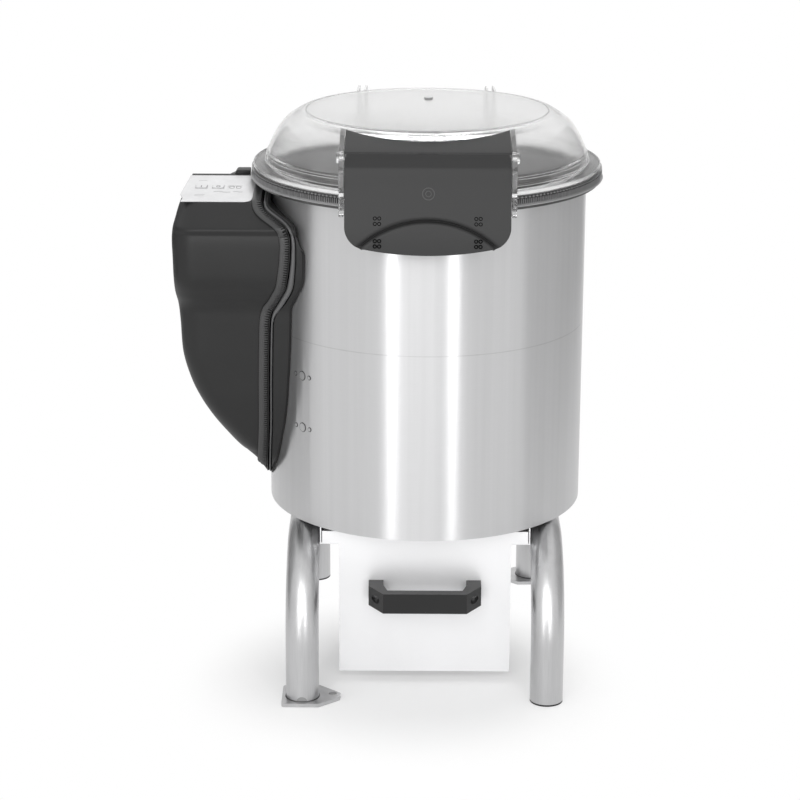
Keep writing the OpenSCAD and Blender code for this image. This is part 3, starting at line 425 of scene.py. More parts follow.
M = {
    "brushed_steel": drum_steel(),
    "tube_steel": steel("leg_steel", 0.46, 0.58, 0.34, (1500, 1500, 40), (60, 60, 3), 0.05),
    "sheet_steel": steel("sheet_steel", 0.84, 0.88, 0.40, strength=0.04, metal=0.55),
    "turned_steel": steel("turned_steel", 0.52, 0.66, 0.24, strength=0.05),
    "black_plastic": plastic("black_plastic", 0.0125, 0.017, 0.44, 1400, 0.10, spec=0.28),
    "ribbed_rubber": plastic("ribbed_rubber", 0.014, 0.020, 0.48, 1100, 0.15, spec=0.35),
    "clear_plastic": clear("clear_plastic", 0.97, 0.12),
    "grey_plastic": plastic("grey_plastic", 0.36, 0.42, 0.4),
    "panel_film": plastic("panel_film", 0.48, 0.56, 0.35, 160, 0.10, spots=30, spec=0.2),
    "dark_glass": plastic("dark_glass", 0.03, 0.04, 0.12, 300, 0.02),
    "board_green": plastic("board_green", (0.03, 0.13, 0.06), (0.05, 0.17, 0.08), 0.4),
    "abrasive_grit": grit("abrasive_grit", (0.05, 0.048, 0.046), (0.13, 0.125, 0.12)),
    "cast_grey": plastic("cast_grey", 0.19, 0.24, 0.5, 500, 0.3),
    "trim_light": plastic("trim_edge", 0.075, 0.095, 0.35, 1100, 0.1),
    "trim_rubber": plastic("trim_rubber", 0.034, 0.045, 0.42, 1100, 0.1, spec=0.4),
    "seal_grey": plastic("seal_grey", 0.17, 0.21, 0.42, 1100, 0.1, coat=0.8),
    # Dark rubber, made near-black so that it also paints the shade behind the seal's teeth and under its lip
    "seal_dark_and_shade": plastic("seal_dark_and_shade", 0.014, 0.020, 0.44, 1100, 0.15, coat=0.8),
    "lip_grey": plastic("lip_grey", 0.24, 0.3, 0.35, 1100, 0.1),
    "door_plastic": plastic("door_plastic", 0.019, 0.024, 0.44, 1400, 0.10, spec=0.28),
    "door_mark": plastic("door_mark", 0.034, 0.042, 0.45, 1100, 0.1),
    "black_deep": plastic("black_deep", 0.006, 0.009, 0.6, 1100, 0.1, spec=0.2),
    "ring_dark": plastic("ring_dark", 0.001, 0.002, 0.9, 1100, 0.0, spec=0.0),
    # Darker, less reflective copy of the clear plastic: painted shade
    "clear_shaded_copy": clear("clear_shaded_copy", 0.6, 0.16, 1.15, 0.0),
    "fixing_dark": steel("fixing_dark", 0.10, 0.14, 0.4),
    "display_film": plastic("display_film", 0.5, 0.56, 0.3, 300, 0.03),
    "mark_grey": plastic("mark_grey", 0.30, 0.38, 0.4, 500, 0.05),
    "ink": plastic("panel_ink", 0.10, 0.14, 0.4, 500, 0.05),
}
for name, ob in NODES.items():
    ob.data.materials.clear()
    ob.data.materials.append(M[SLOT[name]])


# Side housing: height of its foot, its height, its reach from the drum and half its depth

HOUSING_Z, HOUSING_H, HOUSING_REACH, HOUSING_HALF = 234.0, 369.2, 108.6, 130.0
TOP_Z = HOUSING_Z + HOUSING_H
CREASE_Z = HOUSING_Z + HOUSING_H * 0.896
EDGE_Z = HOUSING_Z + HOUSING_H * 0.967
EDGE_Y = HOUSING_HALF * 0.723
RIDGE_Y = HOUSING_HALF * 0.115
COVER_WALL, SADDLE_WALL, CORNER_R = 3.0, 2.4, 26.0
# The lid needs the room above CLEAR_Z within CLEAR_R
CLEAR_R, CLEAR_Z = 216.8, 601.8
# Rows are closer together in the fine bands, where the roof turns
ROWS_FROM, ROW_STEP, FINE_STEP = 545.0, 1.6, 0.8
FINE_BANDS = ((553, 574), (585, 595), (600, TOP_Z))
# Side form: share of the height, of the reach and of half the depth
FORM = spline([
    (0.005, 0.02, 0.3), (0.068, 0.135, 0.5), (0.111, 0.31, 0.575), (0.166, 0.457, 0.645),
    (0.23, 0.61, 0.71), (0.295, 0.74, 0.75), (0.364, 0.843, 0.775), (0.458, 0.925, 0.805),
    (0.566, 0.945, 0.825), (0.626, 0.962, 0.84), (0.672, 0.985, 0.915), (0.722, 0.992, 0.985),
    (0.788, 0.996, 1), (0.869, 1, 1), (0.923, 0.962, 1), (0.96, 0.925, 1), (1, 0.857, 1)], 8)
# Parting line between the two shells: share of the height and of the drum's radius
SEAM = spline([
    (-0.03, 1.012), (0.034, 1.006), (0.132, 0.994), (0.234, 0.983), (0.369, 0.978), (0.498, 0.971),
    (0.578, 0.965), (0.61, 0.952), (0.626, 0.935), (0.644, 0.915), (0.669, 0.89), (0.69, 0.869),
    (0.709, 0.857), (0.738, 0.847), (0.765, 0.84), (0.791, 0.834), (0.818, 0.831), (0.844, 0.829),
    (0.866, 0.832), (0.882, 0.837), (0.896, 0.848), (0.906, 0.865), (0.916, 0.89), (0.926, 0.923),
    (0.936, 0.957), (0.946, 0.985), (0.956, 1.0), (0.966, 1.005), (0.976, 1.007), (0.99, 1.005),
    (1.01, 1.003)], 6)
# Upper end of the front and rear faces: height and depth
FRONT_ROOF = rounded([(HOUSING_Z, HOUSING_HALF), (CREASE_Z, HOUSING_HALF), (EDGE_Z, EDGE_Y),
                      (TOP_Z, -RIDGE_Y), (TOP_Z, -RIDGE_Y - 45)], [0, 9, 6, 0, 0], 8, False)
REAR_ROOF = rounded([(HOUSING_Z, HOUSING_HALF), (CREASE_Z, HOUSING_HALF), (TOP_Z, RIDGE_Y)],
                    [0, 14, 0], 8, False)
# Half-round ridge beside the parting line: height and width
RIDGE_W = [(234, 2.4), (448, 2.6), (472, 6.4), (500, 6.6), (530, 5.2), (555, 4.2), (585, 3.8), (603, 4.0)]
# Right edge of the saddle shell near its top: height and place in x
SADDLE_EDGE = spline([(538, -144.0), (545.3, -149.6), (553.7, -152.6), (561.5, -156.3), (566.0, -160.0)], 6)


def form_x(z):
    return -R - HOUSING_REACH * table(FORM, (z - HOUSING_Z) / HOUSING_H, 0, 1)


def form_w(z):
    return HOUSING_HALF * table(FORM, (z - HOUSING_Z) / HOUSING_H, 0, 2)


def seam_x(z):
    return -R * table(SEAM, (z - HOUSING_Z) / HOUSING_H)


def front_y(z):
    """Front face: a soft ridge at the crease with a shallow dish under it."""
    low = CREASE_Z - 7.5
    dish = 3.0 * (smoothstep(CREASE_Z + 1, low, z) if z > low else math.exp((z - low) / 8))
    return -min(form_w(z), table(FRONT_ROOF, z)) + dish


def rear_y(z):
    return min(form_w(z), table(REAR_ROOF, z))


def face_of(side):
    """Front face for -1, rear face for 1."""
    return front_y if side < 0 else rear_y


def edge_x(z, y):
    """Where the outer shell starts at a height and depth: at the parting line, or outside the lid's room."""
    x = seam_x(z)
    if z > CLEAR_Z - 4:
        clear_x = -math.sqrt(max(CLEAR_R ** 2 - y * y, 0))
        x = min(x, lerp(x, clear_x, smoothstep(CLEAR_Z - 4, CLEAR_Z, z)))
    return x


def levels():
    """Heights of the rows of both shells."""
    heights = [HOUSING_Z + HOUSING_H * f[0] for f in FORM]
    heights = [z for z in heights if z < ROWS_FROM]
    z = ROWS_FROM
    while z < TOP_Z - 0.4:
        heights.append(z)
        z += FINE_STEP if any(lo < z < hi for lo, hi in FINE_BANDS) else ROW_STEP
    return heights + [TOP_Z - 0.3, TOP_Z - 0.05]


def cover_row(z):
    """From the parting line across the front, round the side, and back across the rear."""
    y0, y1 = front_y(z), rear_y(z)
    x0 = form_x(z)
    s0, s1 = edge_x(z, y0), edge_x(z, y1)
    room = (min(s0, s1) - x0) * 0.9 if s0 > x0 + 0.5 else 0.2
    r = max(0.2, min(CORNER_R, (y1 - y0) * 0.35, room))
    quarter = [math.pi / 2 * i / 10 for i in range(10)]
    row = [(lerp(s0, x0 + r, i / 12), y0) for i in range(12)]
    row += [(x0 + r - r * math.sin(a), y0 + r - r * math.cos(a)) for a in quarter]
    row += [(x0, lerp(y0 + r, y1 - r, i / 10)) for i in range(10)]
    row += [(x0 + r - r * math.cos(a), y1 - r + r * math.sin(a)) for a in quarter]
    row += [(lerp(x0 + r, s1, i / 12), y1) for i in range(13)]
    return [(min(x, -R - 0.4) if abs(y) < 1 else x, y, z) for x, y in row]


cover = sheet("outer_housing", [cover_row(z) for z in levels()], COVER_WALL, 50, M["black_plastic"],
              "frame")
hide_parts("housing_cover")


# Trim between the shells: a dark base, a comb of teeth on it and a light ridge beside it

TRIM_TOP, TRIM_Z, TRIM_CUT, RIDGE_Z = 598.0, 246.0, 243.0, 238.0
# Teeth: pitch, depth, and how near the parting line a point has to be to move with them
PITCH, TOOTH, TOOTH_ROOT = 2.9, 4.2, 6.6


def trim_path(side, z0, step):
    """Points up the parting line on one face, with its normal, the way to the left and the slope."""
    face = face_of(side)
    pts, z = [], z0
    while z < TRIM_TOP:
        p = Vector((seam_x(z), face(z), z))
        if not pts or (p - pts[-1]).length > step:
            pts.append(p)
        z += 0.02
    out, k = [], max(1, int(1.5 / step))
    for i, p in enumerate(pts):
        t = (pts[min(i + k, len(pts) - 1)] - pts[max(i - k, 0)]).normalized()
        slope = (face(p.z + 0.4) - face(p.z - 0.4)) / 0.8
        n = Vector((0, side, -side * slope)).normalized()
        left = n.cross(t).normalized()
        out.append((p, n, left if left.x < 0 else -left, abs(slope)))
    return out


def strip(name, profile, mat, side, z0, step=1.5, tooth=0.0, cut=0.0):
    """Band along the parting line; profile(z) is a closed loop of (distance to the left, height)."""
    face = face_of(side)
    path = trim_path(side, z0, step)
    verts, phase, before = [], 0.0, path[0][0]
    for p, n, left, slope in path:
        phase += (p - before).length / PITCH
        before = p
        shift = tooth * smoothstep(-0.3, 0.3, math.cos(2 * math.pi * phase))
        flat = smoothstep(2.0, 1.0, slope)
        for d, h in profile(p.z):
            if d < TOOTH_ROOT:
                d -= shift
            q = p + left * d
            q.y = lerp(q.y, face(q.z), flat)
            q += n * h
            if cut:
                q.z = max(q.z, cut + d * 1.25)
            verts.append(tuple(q))
    return make(name, verts, loop_faces(len(path), len(profile(z0))), mat, "frame", 35)


def base_profile(z):
    return [(0.8, -4), (0.8, 0.5), (1.2, 0.9), (12.2, 0.9), (12.7, 0.5), (12.7, -4)]


def comb_profile(z):
    return [(5.9, 0.4), (5.6, 2.3), (6.2, 3.0), (7.6, 3.4), (10.8, 3.2), (12.0, 2.4), (12.3, 0.4)]


def ridge_profile(z):
    w = table(RIDGE_W, z)
    arch = [(-1.6 - w * i / 8, 2.2 * math.sin(math.pi * i / 8) ** 0.7 - 0.2) for i in range(9)]
    return [(-1.6, -6)] + arch + [(-1.6 - w, -6)]


trims = []
for side, tag in ((-1, "front"), (1, "rear")):
    trims += [
        strip("trim_base_" + tag, base_profile, M["black_deep"], side, TRIM_Z, cut=TRIM_CUT),
        strip("trim_comb_" + tag, comb_profile, M["trim_rubber"], side, TRIM_Z, 0.4, TOOTH, TRIM_CUT),
        strip("ridge_" + tag, ridge_profile, M["trim_light"], side, RIDGE_Z),
    ]
for t in trims:
    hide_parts("housing_seal")


# Saddle shell between the trim and the drum

def saddle_end(z, w, s):
    """One face of the saddle shell at a height, from the trim to the drum, and the drum's turn there."""
    near = seam_x(z) + (2.2 + table(RIDGE_W, z)) * min(math.hypot(1, seam_x(z + 0.5) - seam_x(z - 0.5)), 1.6)
    x1 = -math.sqrt(max(R * R - w * w, 1)) - 0.2
    if z > SADDLE_EDGE[0][0]:
        x1 = min(x1, max(table(SADDLE_EDGE, z), near + 1.2) if z < SADDLE_EDGE[-1][0] else near + 1.2)
    x0 = min(near, x1 - 1.2)
    line = [(x0, w - s * 7.0), (x0, w - s * 1.4), (x0 + 0.4, w - s * 0.3)]
    line += [(lerp(x0 + 0.6, x1 - 1.0, i / 6), w) for i in range(7)]
    drum_y = s * math.sqrt(max((R + 0.3) ** 2 - x1 * x1, 0))
    if abs(drum_y) < abs(w) - 1.2:
        line += [(x1 - 0.3, w - s * 0.3), (x1, w - s * 1.0)]
    else:
        line += [(x1 - 0.1, w), (x1, w)]
    return line, math.atan2(drum_y, -x1)


def saddle_row(z):
    """From the parting line across the front, in to the drum, round it, and out again at the rear."""
    front, a0 = saddle_end(z, front_y(z), -1)
    rear, a1 = saddle_end(z, rear_y(z), 1)
    angles = [lerp(a0, a1, i / 28) for i in range(29)]
    arc = [(-(R + 0.3) * math.cos(a), (R + 0.3) * math.sin(a)) for a in angles]
    return [(x, y, z) for x, y in front + arc + rear[::-1]]


saddle = sheet("saddle_shell", [saddle_row(z) for z in levels() if z < CLEAR_Z], SADDLE_WALL, 40,
               M["black_plastic"], "frame")
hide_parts("housing_back")


# Rim seal: dark ring with a grey band, a comb of teeth and a row of beads, open at the front for the door

# Half the opening for the door, length along the rim, pitch of the beads
SEAL_GAP, RIM_LENGTH, BEAD_PITCH = 98.9, 1240, 6.0
RING_STEPS, COMB_STEPS, BEAD_STEPS = 260, 2480, 1500


def round_strip(name, section, mat, n):
    """Closed section of (r, z) points taken around the rim; it may change with the length along the rim."""
    verts = []
    for i in range(n):
        pts = section(RIM_LENGTH * i / (n - 1))
        for r, z in pts:
            a0 = math.asin(SEAL_GAP / r)
            a = lerp(a0, 2 * math.pi - a0, i / (n - 1)) - math.pi / 2
            verts.append((r * math.cos(a), r * math.sin(a), z))
    return make(name, verts, loop_faces(n, len(pts)), mat, "frame")


def ring_section(run):
    return [(202.2, 603), (209.6, 603), (210.6, 603.6), (210.6, 607), (211.7, 607.4), (211.7, 619.2),
            (213.2, 619.3), (213.6, 619.6), (213.2, 620), (202.2, 620), (202.2, 611), (207.2, 611),
            (207.2, 608), (202.2, 608)]


def band_section(run):
    c = smoothstep(-0.3, 0.3, math.cos(2 * math.pi * run / PITCH))
    r = 211.2 + 2.7 * c
    return [(208, 607.2), (213.6, 607.2), (213.9, 608.6), (213.9, 609.8), (r, 610.6),
            (r - 0.2, 612.8 + 3 * c), (r - 0.6, 613.1 + 3 * c), (211.1, 612.6), (208, 612.6)]


def lip_section(run):
    return [(213.2, 607.1), (214.5, 607.3), (214.9, 607.9), (214.5, 608.5), (213.2, 608.7)]


def bead_section(run):
    k = 0.15 + 0.85 * smoothstep(-0.2, 0.5, math.cos(2 * math.pi * run / BEAD_PITCH))
    return ellipse(211.8, 617.4, 1.9 * k, 1.0 * k, 8)


seal_parts = [
    # The ring is dark rubber made near-black to paint the shade in the groove behind the teeth and in the gap
    # under the lip
    round_strip("rim_ring", ring_section, M["seal_dark_and_shade"], RING_STEPS),
    round_strip("rim_band", band_section, M["seal_grey"], COMB_STEPS),
    round_strip("rim_lip", lip_section, M["lip_grey"], RING_STEPS),
    round_strip("rim_beads", bead_section, M["lip_grey"], BEAD_STEPS),
]
for t in seal_parts:
    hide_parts("rim_seal")


# Discharge door: one curved sheet with a pressed arch, and a flange along each side

# Half its width, its pins, its lip and the radius of its upper edge
DOOR_HALF, PIN_Y, PIN_Z, DOOR_LIP, DOOR_TOP_R = 95.3, -187.0, 664.0, 558.0, 162.0
DOOR_WALL, FLANGE_TOP, FLANGE_END, LIP_RISE, LIP_CORNER = 3.3, 1.2, 10.6, 11.6, 20.0
# Flat part over the dome: height over the pins and slope; then how far the front stands out
TOP_RISE, TOP_SLOPE, REACH = 7.0, 0.268, 38.0
# Arch: radius, height of its top, depth of the recess, depth and place of the groove, and how high both go
ARCH_R, ARCH_Z, RECESS, GROOVE, GROOVE_AT, DENT_TOP = 119.5, 599.0, 1.2, 2.6, 1.8, 612.0
# Two bare rings in the middle, and groups of four small rings at the sides
RING_X, RING_Z, DOT_X, DOT_ROWS = 0.7, 626.5, 57.8, (596.5, 571.5)
DOTS = ((-2.5, -3.0), (2.5, -3.0), (-2.5, 3.0), (2.5, 3.0))
DOOR_TOP = [(y, PIN_Z + TOP_RISE + TOP_SLOPE * (y - PIN_Y)) for y in (-90.0, -178.0)]
DOOR_BEND = [(-189.5, PIN_Z + 3.8), (-197.5, PIN_Z - 6.0)]
# Front of the door: share of the reach past the pins and of the way down to the lip
DOOR_FRONT = [(PIN_Y - REACH * a, lerp(PIN_Z, DOOR_LIP, b))
              for a, b in ((0.37, 0.12), (0.5, 0.3), (0.71, 0.56), (0.89, 0.8), (1, 1.02))]


def with_lengths(line):
    """The same line with the length along it before each point."""
    out, s = [(0.0, *line[0])], 0.0
    for a, b in zip(line, line[1:]):
        s += math.dist(a, b)
        out.append((s, *b))
    return out


DOOR = with_lengths(spline(DOOR_TOP + DOOR_BEND + DOOR_FRONT, 12))


def door_face(s):
    """Place on the door's face at a length along it, and the way down it."""
    y, z = table(DOOR, s, 0, 1), table(DOOR, s, 0, 2)
    y2, z2 = table(DOOR, s + 0.4, 0, 1), table(DOOR, s + 0.4, 0, 2)
    return y, z, Vector((y2 - y, z2 - z)).normalized()


def under_door(s, depth):
    """Place at a depth under the door's face."""
    y, z, down = door_face(s)
    return y - down.y * depth, z + down.x * depth


def door_s_of_z(z):
    return table([(zz, s) for s, y, zz in DOOR if zz < PIN_Z][::-1], z)


def door_s_of_y(y):
    return table([(-yy, s) for s, yy, zz in DOOR if zz >= PIN_Z - 2], -y)


def door_start(x):
    """Length along the face where the door starts, on an upper edge that is round like the dome."""
    return door_s_of_y(-math.sqrt(DOOR_TOP_R ** 2 - x * x))


def lip_of(x):
    """Height of the lower edge: it rises to the sides and has round corners."""
    z = DOOR_LIP + LIP_RISE * (x / DOOR_HALF) ** 2
    past = abs(x) - (DOOR_HALF - LIP_CORNER)
    if past > 0:
        z += LIP_CORNER - math.sqrt(max(LIP_CORNER ** 2 - past ** 2, 0))
    return z


def door_dent(x, z):
    """Depth of the pressed recess below the arch, with a groove along it."""
    d = ARCH_R - math.hypot(x, z - (ARCH_Z - ARCH_R))
    if z > DENT_TOP or d < -6:
        return 0.0
    return RECESS * smoothstep(-1.2, 1.6, d) + GROOVE * math.exp(-((d - GROOVE_AT) / 2.1) ** 2)


def door_row(t, n):
    """Points across the door at a share of the way down, closer together at the sides."""
    row = []
    for i in range(n + 1):
        x = DOOR_HALF * math.sin((2 * i / n - 1) * math.pi / 2 * 0.985) / math.sin(math.pi / 2 * 0.985)
        s = lerp(door_start(x), door_s_of_z(lip_of(x)), t)
        z = table(DOOR, s, 0, 2)
        row.append((x, *under_door(s, door_dent(x, z))))
    return row


def side_wall(sgn):
    """Flange along one side of the door, under the sheet."""
    s0, s1 = door_start(DOOR_HALF), door_s_of_z(lip_of(DOOR_HALF) - 1)
    along = [lerp(s0, s1, i / 40) for i in range(41)]
    outline = [under_door(s, FLANGE_TOP) for s in along] + [under_door(s, FLANGE_END) for s in along[::-1]]
    name = "door_flange_" + ("right" if sgn > 0 else "left")
    ends = sgn * DOOR_HALF, sgn * (DOOR_HALF - DOOR_WALL)
    return prism(name, outline, ends, "x", M["door_plastic"], "door")


def on_door(x, z, lift):
    """Point over the front of the door at a width and height, with the way down the face and out of it."""
    y, z, t = door_face(door_s_of_z(z))
    down, out = Vector((0, t.x, t.y)), Vector((0, t.y, -t.x))
    return Vector((x, y, z)) + out * lift, down, out


def door_ring(name, x, z, r, w, lift, n, mat):
    """Small raised ring on the door's face, rooted in it: radius, width and lift."""
    root = 0.3
    c, down, out = on_door(x, z, -root)
    verts = []
    for a in turns(n):
        e = Vector((1, 0, 0)) * math.cos(a) + down * math.sin(a)
        for inset, height in ((w, 0), (w * 0.8, lift + root), (w * 0.2, lift + root), (0, 0)):
            verts.append(tuple(c + e * (r - inset) + out * height))
    return make(name, verts, loop_faces(n, 4, True), M[mat], "door")


def door_rings():
    """A bare double ring, and four groups of four small dark rings."""
    out = [door_ring("door_ring_large", RING_X, RING_Z, 7.6, 1.6, 0.4, 28, "door_mark"),
           door_ring("door_ring_small", RING_X, RING_Z, 3.8, 1.2, 0.4, 28, "door_mark")]
    for sgn, letter in ((-1, "l"), (1, "r")):
        for group_z in DOT_ROWS:
            for i, (dx, dz) in enumerate(DOTS):
                x, z = sgn * DOT_X + dx, group_z + dz
                out.append(door_ring(f"door_dot_{letter}{int(group_z)}_{i}", x, z, 2.4, 1.1,
                                     0.3 - door_dent(x, z), 14, "ring_dark"))
    return out


def door_groove_shade():
    """Near-black tube laid in the groove along the arch: painted shade in the groove."""
    r, line = ARCH_R - GROOVE_AT, []
    for i in range(49):
        a = math.radians(lerp(-40, 40, i / 48))
        x, z = r * math.sin(a), ARCH_Z - ARCH_R + r * math.cos(a)
        line.append(tuple(on_door(x, z, 0.2 - door_dent(x, z))[0]))
    return tube_along("door_groove_shade", line, 1.3, 10, M["black_deep"], "door")


steps = 150
door_parts = [sheet("door_sheet", [door_row(j / steps, steps) for j in range(steps + 1)], DOOR_WALL, 40,
                    M["door_plastic"], "door")]
door_parts += [side_wall(-1), side_wall(1), *door_rings(), door_groove_shade()]
for t in door_parts:
    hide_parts("discharge_door")


# Clear lid: dome with fine lines on its brim, cheeks beside the door and hinge ears

BRIM_Z, DOME_Z, DOME_H, LID_T, FLAT_R, WALL_R = 620.3, 626.7, 61.0, 3.0, 148.0, 195.5
LID_TOP = DOME_Z + DOME_H
# Inner and outer face of the cheeks, which bound the door's room, and where that room ends in the dome
CHEEK_IN, CHEEK_OUT, NOTCH_R, NOTCH_Y = 95.9, 101.9, 160.0, -270.0
# Two ears a side: place, half the thickness, where they start, and the band in which both lie
EAR_PLACES, EAR_HALF, EAR_Y, EAR_BAND = (77.9, 87.1), 1.5, 97.0, (76, 89)
# Flat part of the brim: from and to, where its lip starts, and what it lies below
BRIM_FROM, BRIM_TO, LIP_FROM, BRIM_BELOW = 197.5, 211.4, 209.8, 626.0
# Dome: share of the way out from the flat top and of the height
DOME = spline([(0, 1), (0.12, 0.985), (0.34, 0.89), (0.57, 0.755), (0.78, 0.525), (0.885, 0.36),
               (0.947, 0.245), (1, 0)], 6)
# Fine beads at the foot of the dome: radius, height and size
BEADS = ((195.0, 637.4, 0.6), (195.5, 634.8, 0.75), (196.4, 628.2, 1.6))
BRIM = [(199.2, 625.3), (201.0, 624.8), (208.6, 624.3), (209.6, 624.3), (210.1, 625.0), (210.8, 625.3),
        (211.4, 625.0), (211.6, 624.2), (211.5, 621.0), (211.0, BRIM_Z)]
CHEEK = rounded([(-90, 620.4), (-90, 687.4), (-114, 686.2), (-180, 675.5), (-194, 673), (-209, 652.5),
                 (-209, 599.3), (-191, 599.3), (-191, 620.4)], [0, 0, 3, 8, 10, 8, 1, 1, 0], 5)
EAR = rounded([(EAR_Y, 629.7), (209, 621.5), (222, 627), (235, 640), (232.4, 673.5), (219.4, 679),
               (133.2, 686.2), (EAR_Y, 686.2)], [0, 1, 9, 9, 6, 8, 20, 0], 6)


def dome_line(d):
    """Side of the dome, or the same line under a wall of thickness d."""
    return [(lerp(FLAT_R, WALL_R, p[0]) - d * min(1, p[0] * 3), DOME_Z + (DOME_H - d) * p[1]) for p in DOME]


LID_INSIDE = [(192.5, BRIM_Z)] + dome_line(LID_T)[:0:-1] + [(140, LID_TOP - LID_T), (0.0, LID_TOP - LID_T)]


def lid_profile():
    flat = [(0, LID_TOP), (90, LID_TOP), (146.6, LID_TOP), (147.2, LID_TOP - 0.5), (147.8, LID_TOP)]
    side = [p for p in dome_line(0)[1:] if p[1] > 639]
    beads = [(r + b * math.cos(math.radians(a)), z + b * math.sin(math.radians(a)))
             for r, z, b in BEADS for a in (75, 35, 0, -35, -75)]
    return flat + side + beads + BRIM + LID_INSIDE


def lid_core():
    """The room under the dome, to cut it out of the parts added to the lid."""
    return lathe("core", [(0, 600), (192.4, 600)] + LID_INSIDE, 128, M["clear_plastic"])


def notch():
    """The room of the door in the lid."""
    a0 = math.asin(CHEEK_IN / NOTCH_R)
    angles = [lerp(-a0, a0, i / 24) for i in range(25)]
    arc = [(NOTCH_R * math.sin(a), -NOTCH_R * math.cos(a)) for a in angles]
    outline = arc + [(CHEEK_IN, NOTCH_Y), (-CHEEK_IN, NOTCH_Y)]
    return prism("cut", outline, (610, 700), "z", M["clear_plastic"])


def lid_plates(sgn):
    """A cheek and two hinge ears on one side of the lid."""
    rows = [("cheek", CHEEK, (sgn * CHEEK_IN, sgn * CHEEK_OUT), 0.7)]
    rows += [("ear", EAR, (sgn * x - EAR_HALF, sgn * x + EAR_HALF), 0.4) for x in EAR_PLACES]
    out = [prism(name, outline, ends, "x", M["clear_plastic"], bevel=bevel, segments=2)
           for name, outline, ends, bevel in rows]
    for plate in out:
        boolean(plate, lid_core(), "DIFFERENCE")
    return out


def in_brim(p):
    """Upper face of the brim inside its lip, or its lower face."""
    r = math.hypot(p.center.x, p.center.y) / MM
    flat = BRIM_FROM < r < BRIM_TO and p.center.z / MM < BRIM_BELOW and abs(p.normal.z) > 0.5
    return flat and (r < LIP_FROM or p.normal.z < 0)


def in_ear(p):
    """Side face of a hinge ear."""
    lo, hi = EAR_BAND
    return p.center.y / MM > EAR_Y and lo < abs(p.center.x) / MM < hi and abs(p.normal.x) > 0.9


lid = lathe("lid_shell", lid_profile(), 256, M["clear_plastic"], "lid")
boolean(lid, notch(), "DIFFERENCE")
for t in lid_plates(-1) + lid_plates(1):
    boolean(lid, t, "UNION")
# The brim's flat faces and the ears' sides take the darker, less reflective copy of the clear plastic:
# painted shade on them
lid.data.materials.append(M["clear_shaded_copy"])
for p in lid.data.polygons:
    if in_brim(p) or in_ear(p):
        p.material_index = 1
shade(lid, 28)
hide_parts("lid_dome")


# Raised arrow on the front of the dome: its outline as width and radius

ARROW = [(-23, 151.2), (-8, 151.2), (7, 151.2), (7, 149.6), (22, 152.6), (7, 156.0), (7, 154.4), (-8, 154.4),
         (-23, 154.4), (-23, 151.2)]


def on_dome(x, r):
    return (x, -math.sqrt(r * r - x * x), table(dome_line(0), r) + 0.1)


for i, (a, b) in enumerate(zip(ARROW, ARROW[1:])):
    line = [on_dome(lerp(a[0], b[0], k / 4), lerp(a[1], b[1], k / 4)) for k in range(5)]
    tube_along(f"lid_arrow_{i}", line, 0.5, 8, M["mark_grey"], "lid")


# Control panel, keys and display, in the plane of the housing's sloping roof

TILT = math.atan((TOP_Z - EDGE_Z) / (EDGE_Y + RIDGE_Y))
PANEL_X, PANEL_Y = -R - HOUSING_REACH * 0.513, -45.0
PANEL_Z = EDGE_Z + (EDGE_Y + PANEL_Y) * math.tan(TILT)
PANEL = rounded([(-45.5, -21.5), (-41.4, -37), (-42.8, -48.8), (40.6, -49.2), (42.6, -30), (42.6, 50.5),
                 (-38.8, 50.5)], [2, 2, 1, 9, 30, 6, 2], 8)
KEYS = (("start", -22.0), ("stop", -1.5))
KEY_Y, KEY_W, KEY_D, KEY_GAP, DISPLAY_X, DISPLAY_W = 5.0, 13.6, 10.0, 0.6, 19.0, 17.0
# The film is 1 thick, and its print starts just under its face
FILM_T, PRINT_Z = 1.0, 0.9


def on_panel(x, y, z):
    return (PANEL_X + x, PANEL_Y + y * math.cos(TILT) - z * math.sin(TILT),
            PANEL_Z + y * math.sin(TILT) + z * math.cos(TILT))


def plates(name, outlines, z0, z1, mat, body=None):
    """Flat figures on the panel, between two heights over it, as one mesh."""
    verts, faces = [], []
    for outline in outlines:
        faces += prism_faces(len(outline), len(verts))
        verts += [on_panel(x, y, z) for z in (z0, z1) for x, y in outline]
    return make(name, verts, faces, M[mat], body)


def wide_line(pts, w):
    """Outline of a line of even width through the points."""
    left, right = [], []
    for i, p in enumerate(pts):
        a, b = Vector(pts[max(i - 1, 0)]), Vector(pts[min(i + 1, len(pts) - 1)])
        d = (b - a).normalized()
        left.append((p[0] - d.y * w / 2, p[1] + d.x * w / 2))
        right.append((p[0] + d.y * w / 2, p[1] - d.x * w / 2))
    return left + right[::-1]


def ring_lines(x, y, rx, ry, w):
    pts = ellipse(x, y, rx, ry, 20)
    return [wide_line(pair, w) for pair in zip(pts, pts[1:] + pts[:1])]


def wave(x0, x1, y, bend):
    return wide_line([(lerp(x0, x1, i / 12), y + bend * math.sin(i / 2)) for i in range(13)], 2.4)


def zero(x, y, w, h, t):
    """Figure nought of a plain display: six bars."""
    out = [bar(x, y + s * h / 2, w - t * 1.2, t) for s in (-1, 1)]
    return out + [bar(x + s * w / 2, y + u * h / 4, t, h / 2 - t * 1.2) for s in (-1, 1) for u in (-1, 1)]


def panel_sheet():
    film = plates("panel_sheet", [PANEL], 0.0, FILM_T, "panel_film", "frame")
    round_edges(film, 0.35, 3, 40)
    for x, w in [(x, KEY_W + KEY_GAP) for tag, x in KEYS] + [(DISPLAY_X, DISPLAY_W)]:
        boolean(film, plates("hole", [bar(x, KEY_Y, w, KEY_D + KEY_GAP)], -3, 3, "panel_film"), "DIFFERENCE")
    shade(film)
    return film


def display():
    window = plates("display_window", [bar(DISPLAY_X, KEY_Y, 16.8, 10.4)], -1.6, 0.7, "display_film", "frame")
    round_edges(window, 0.3, 3, 40)
    noughts = [b for x in (14.9, 23.1) for b in zero(x, KEY_Y, 5.2, 7.6, 1.0)]
    return window, plates("display_figures", noughts, 0.6, 0.85, "ink", "frame")


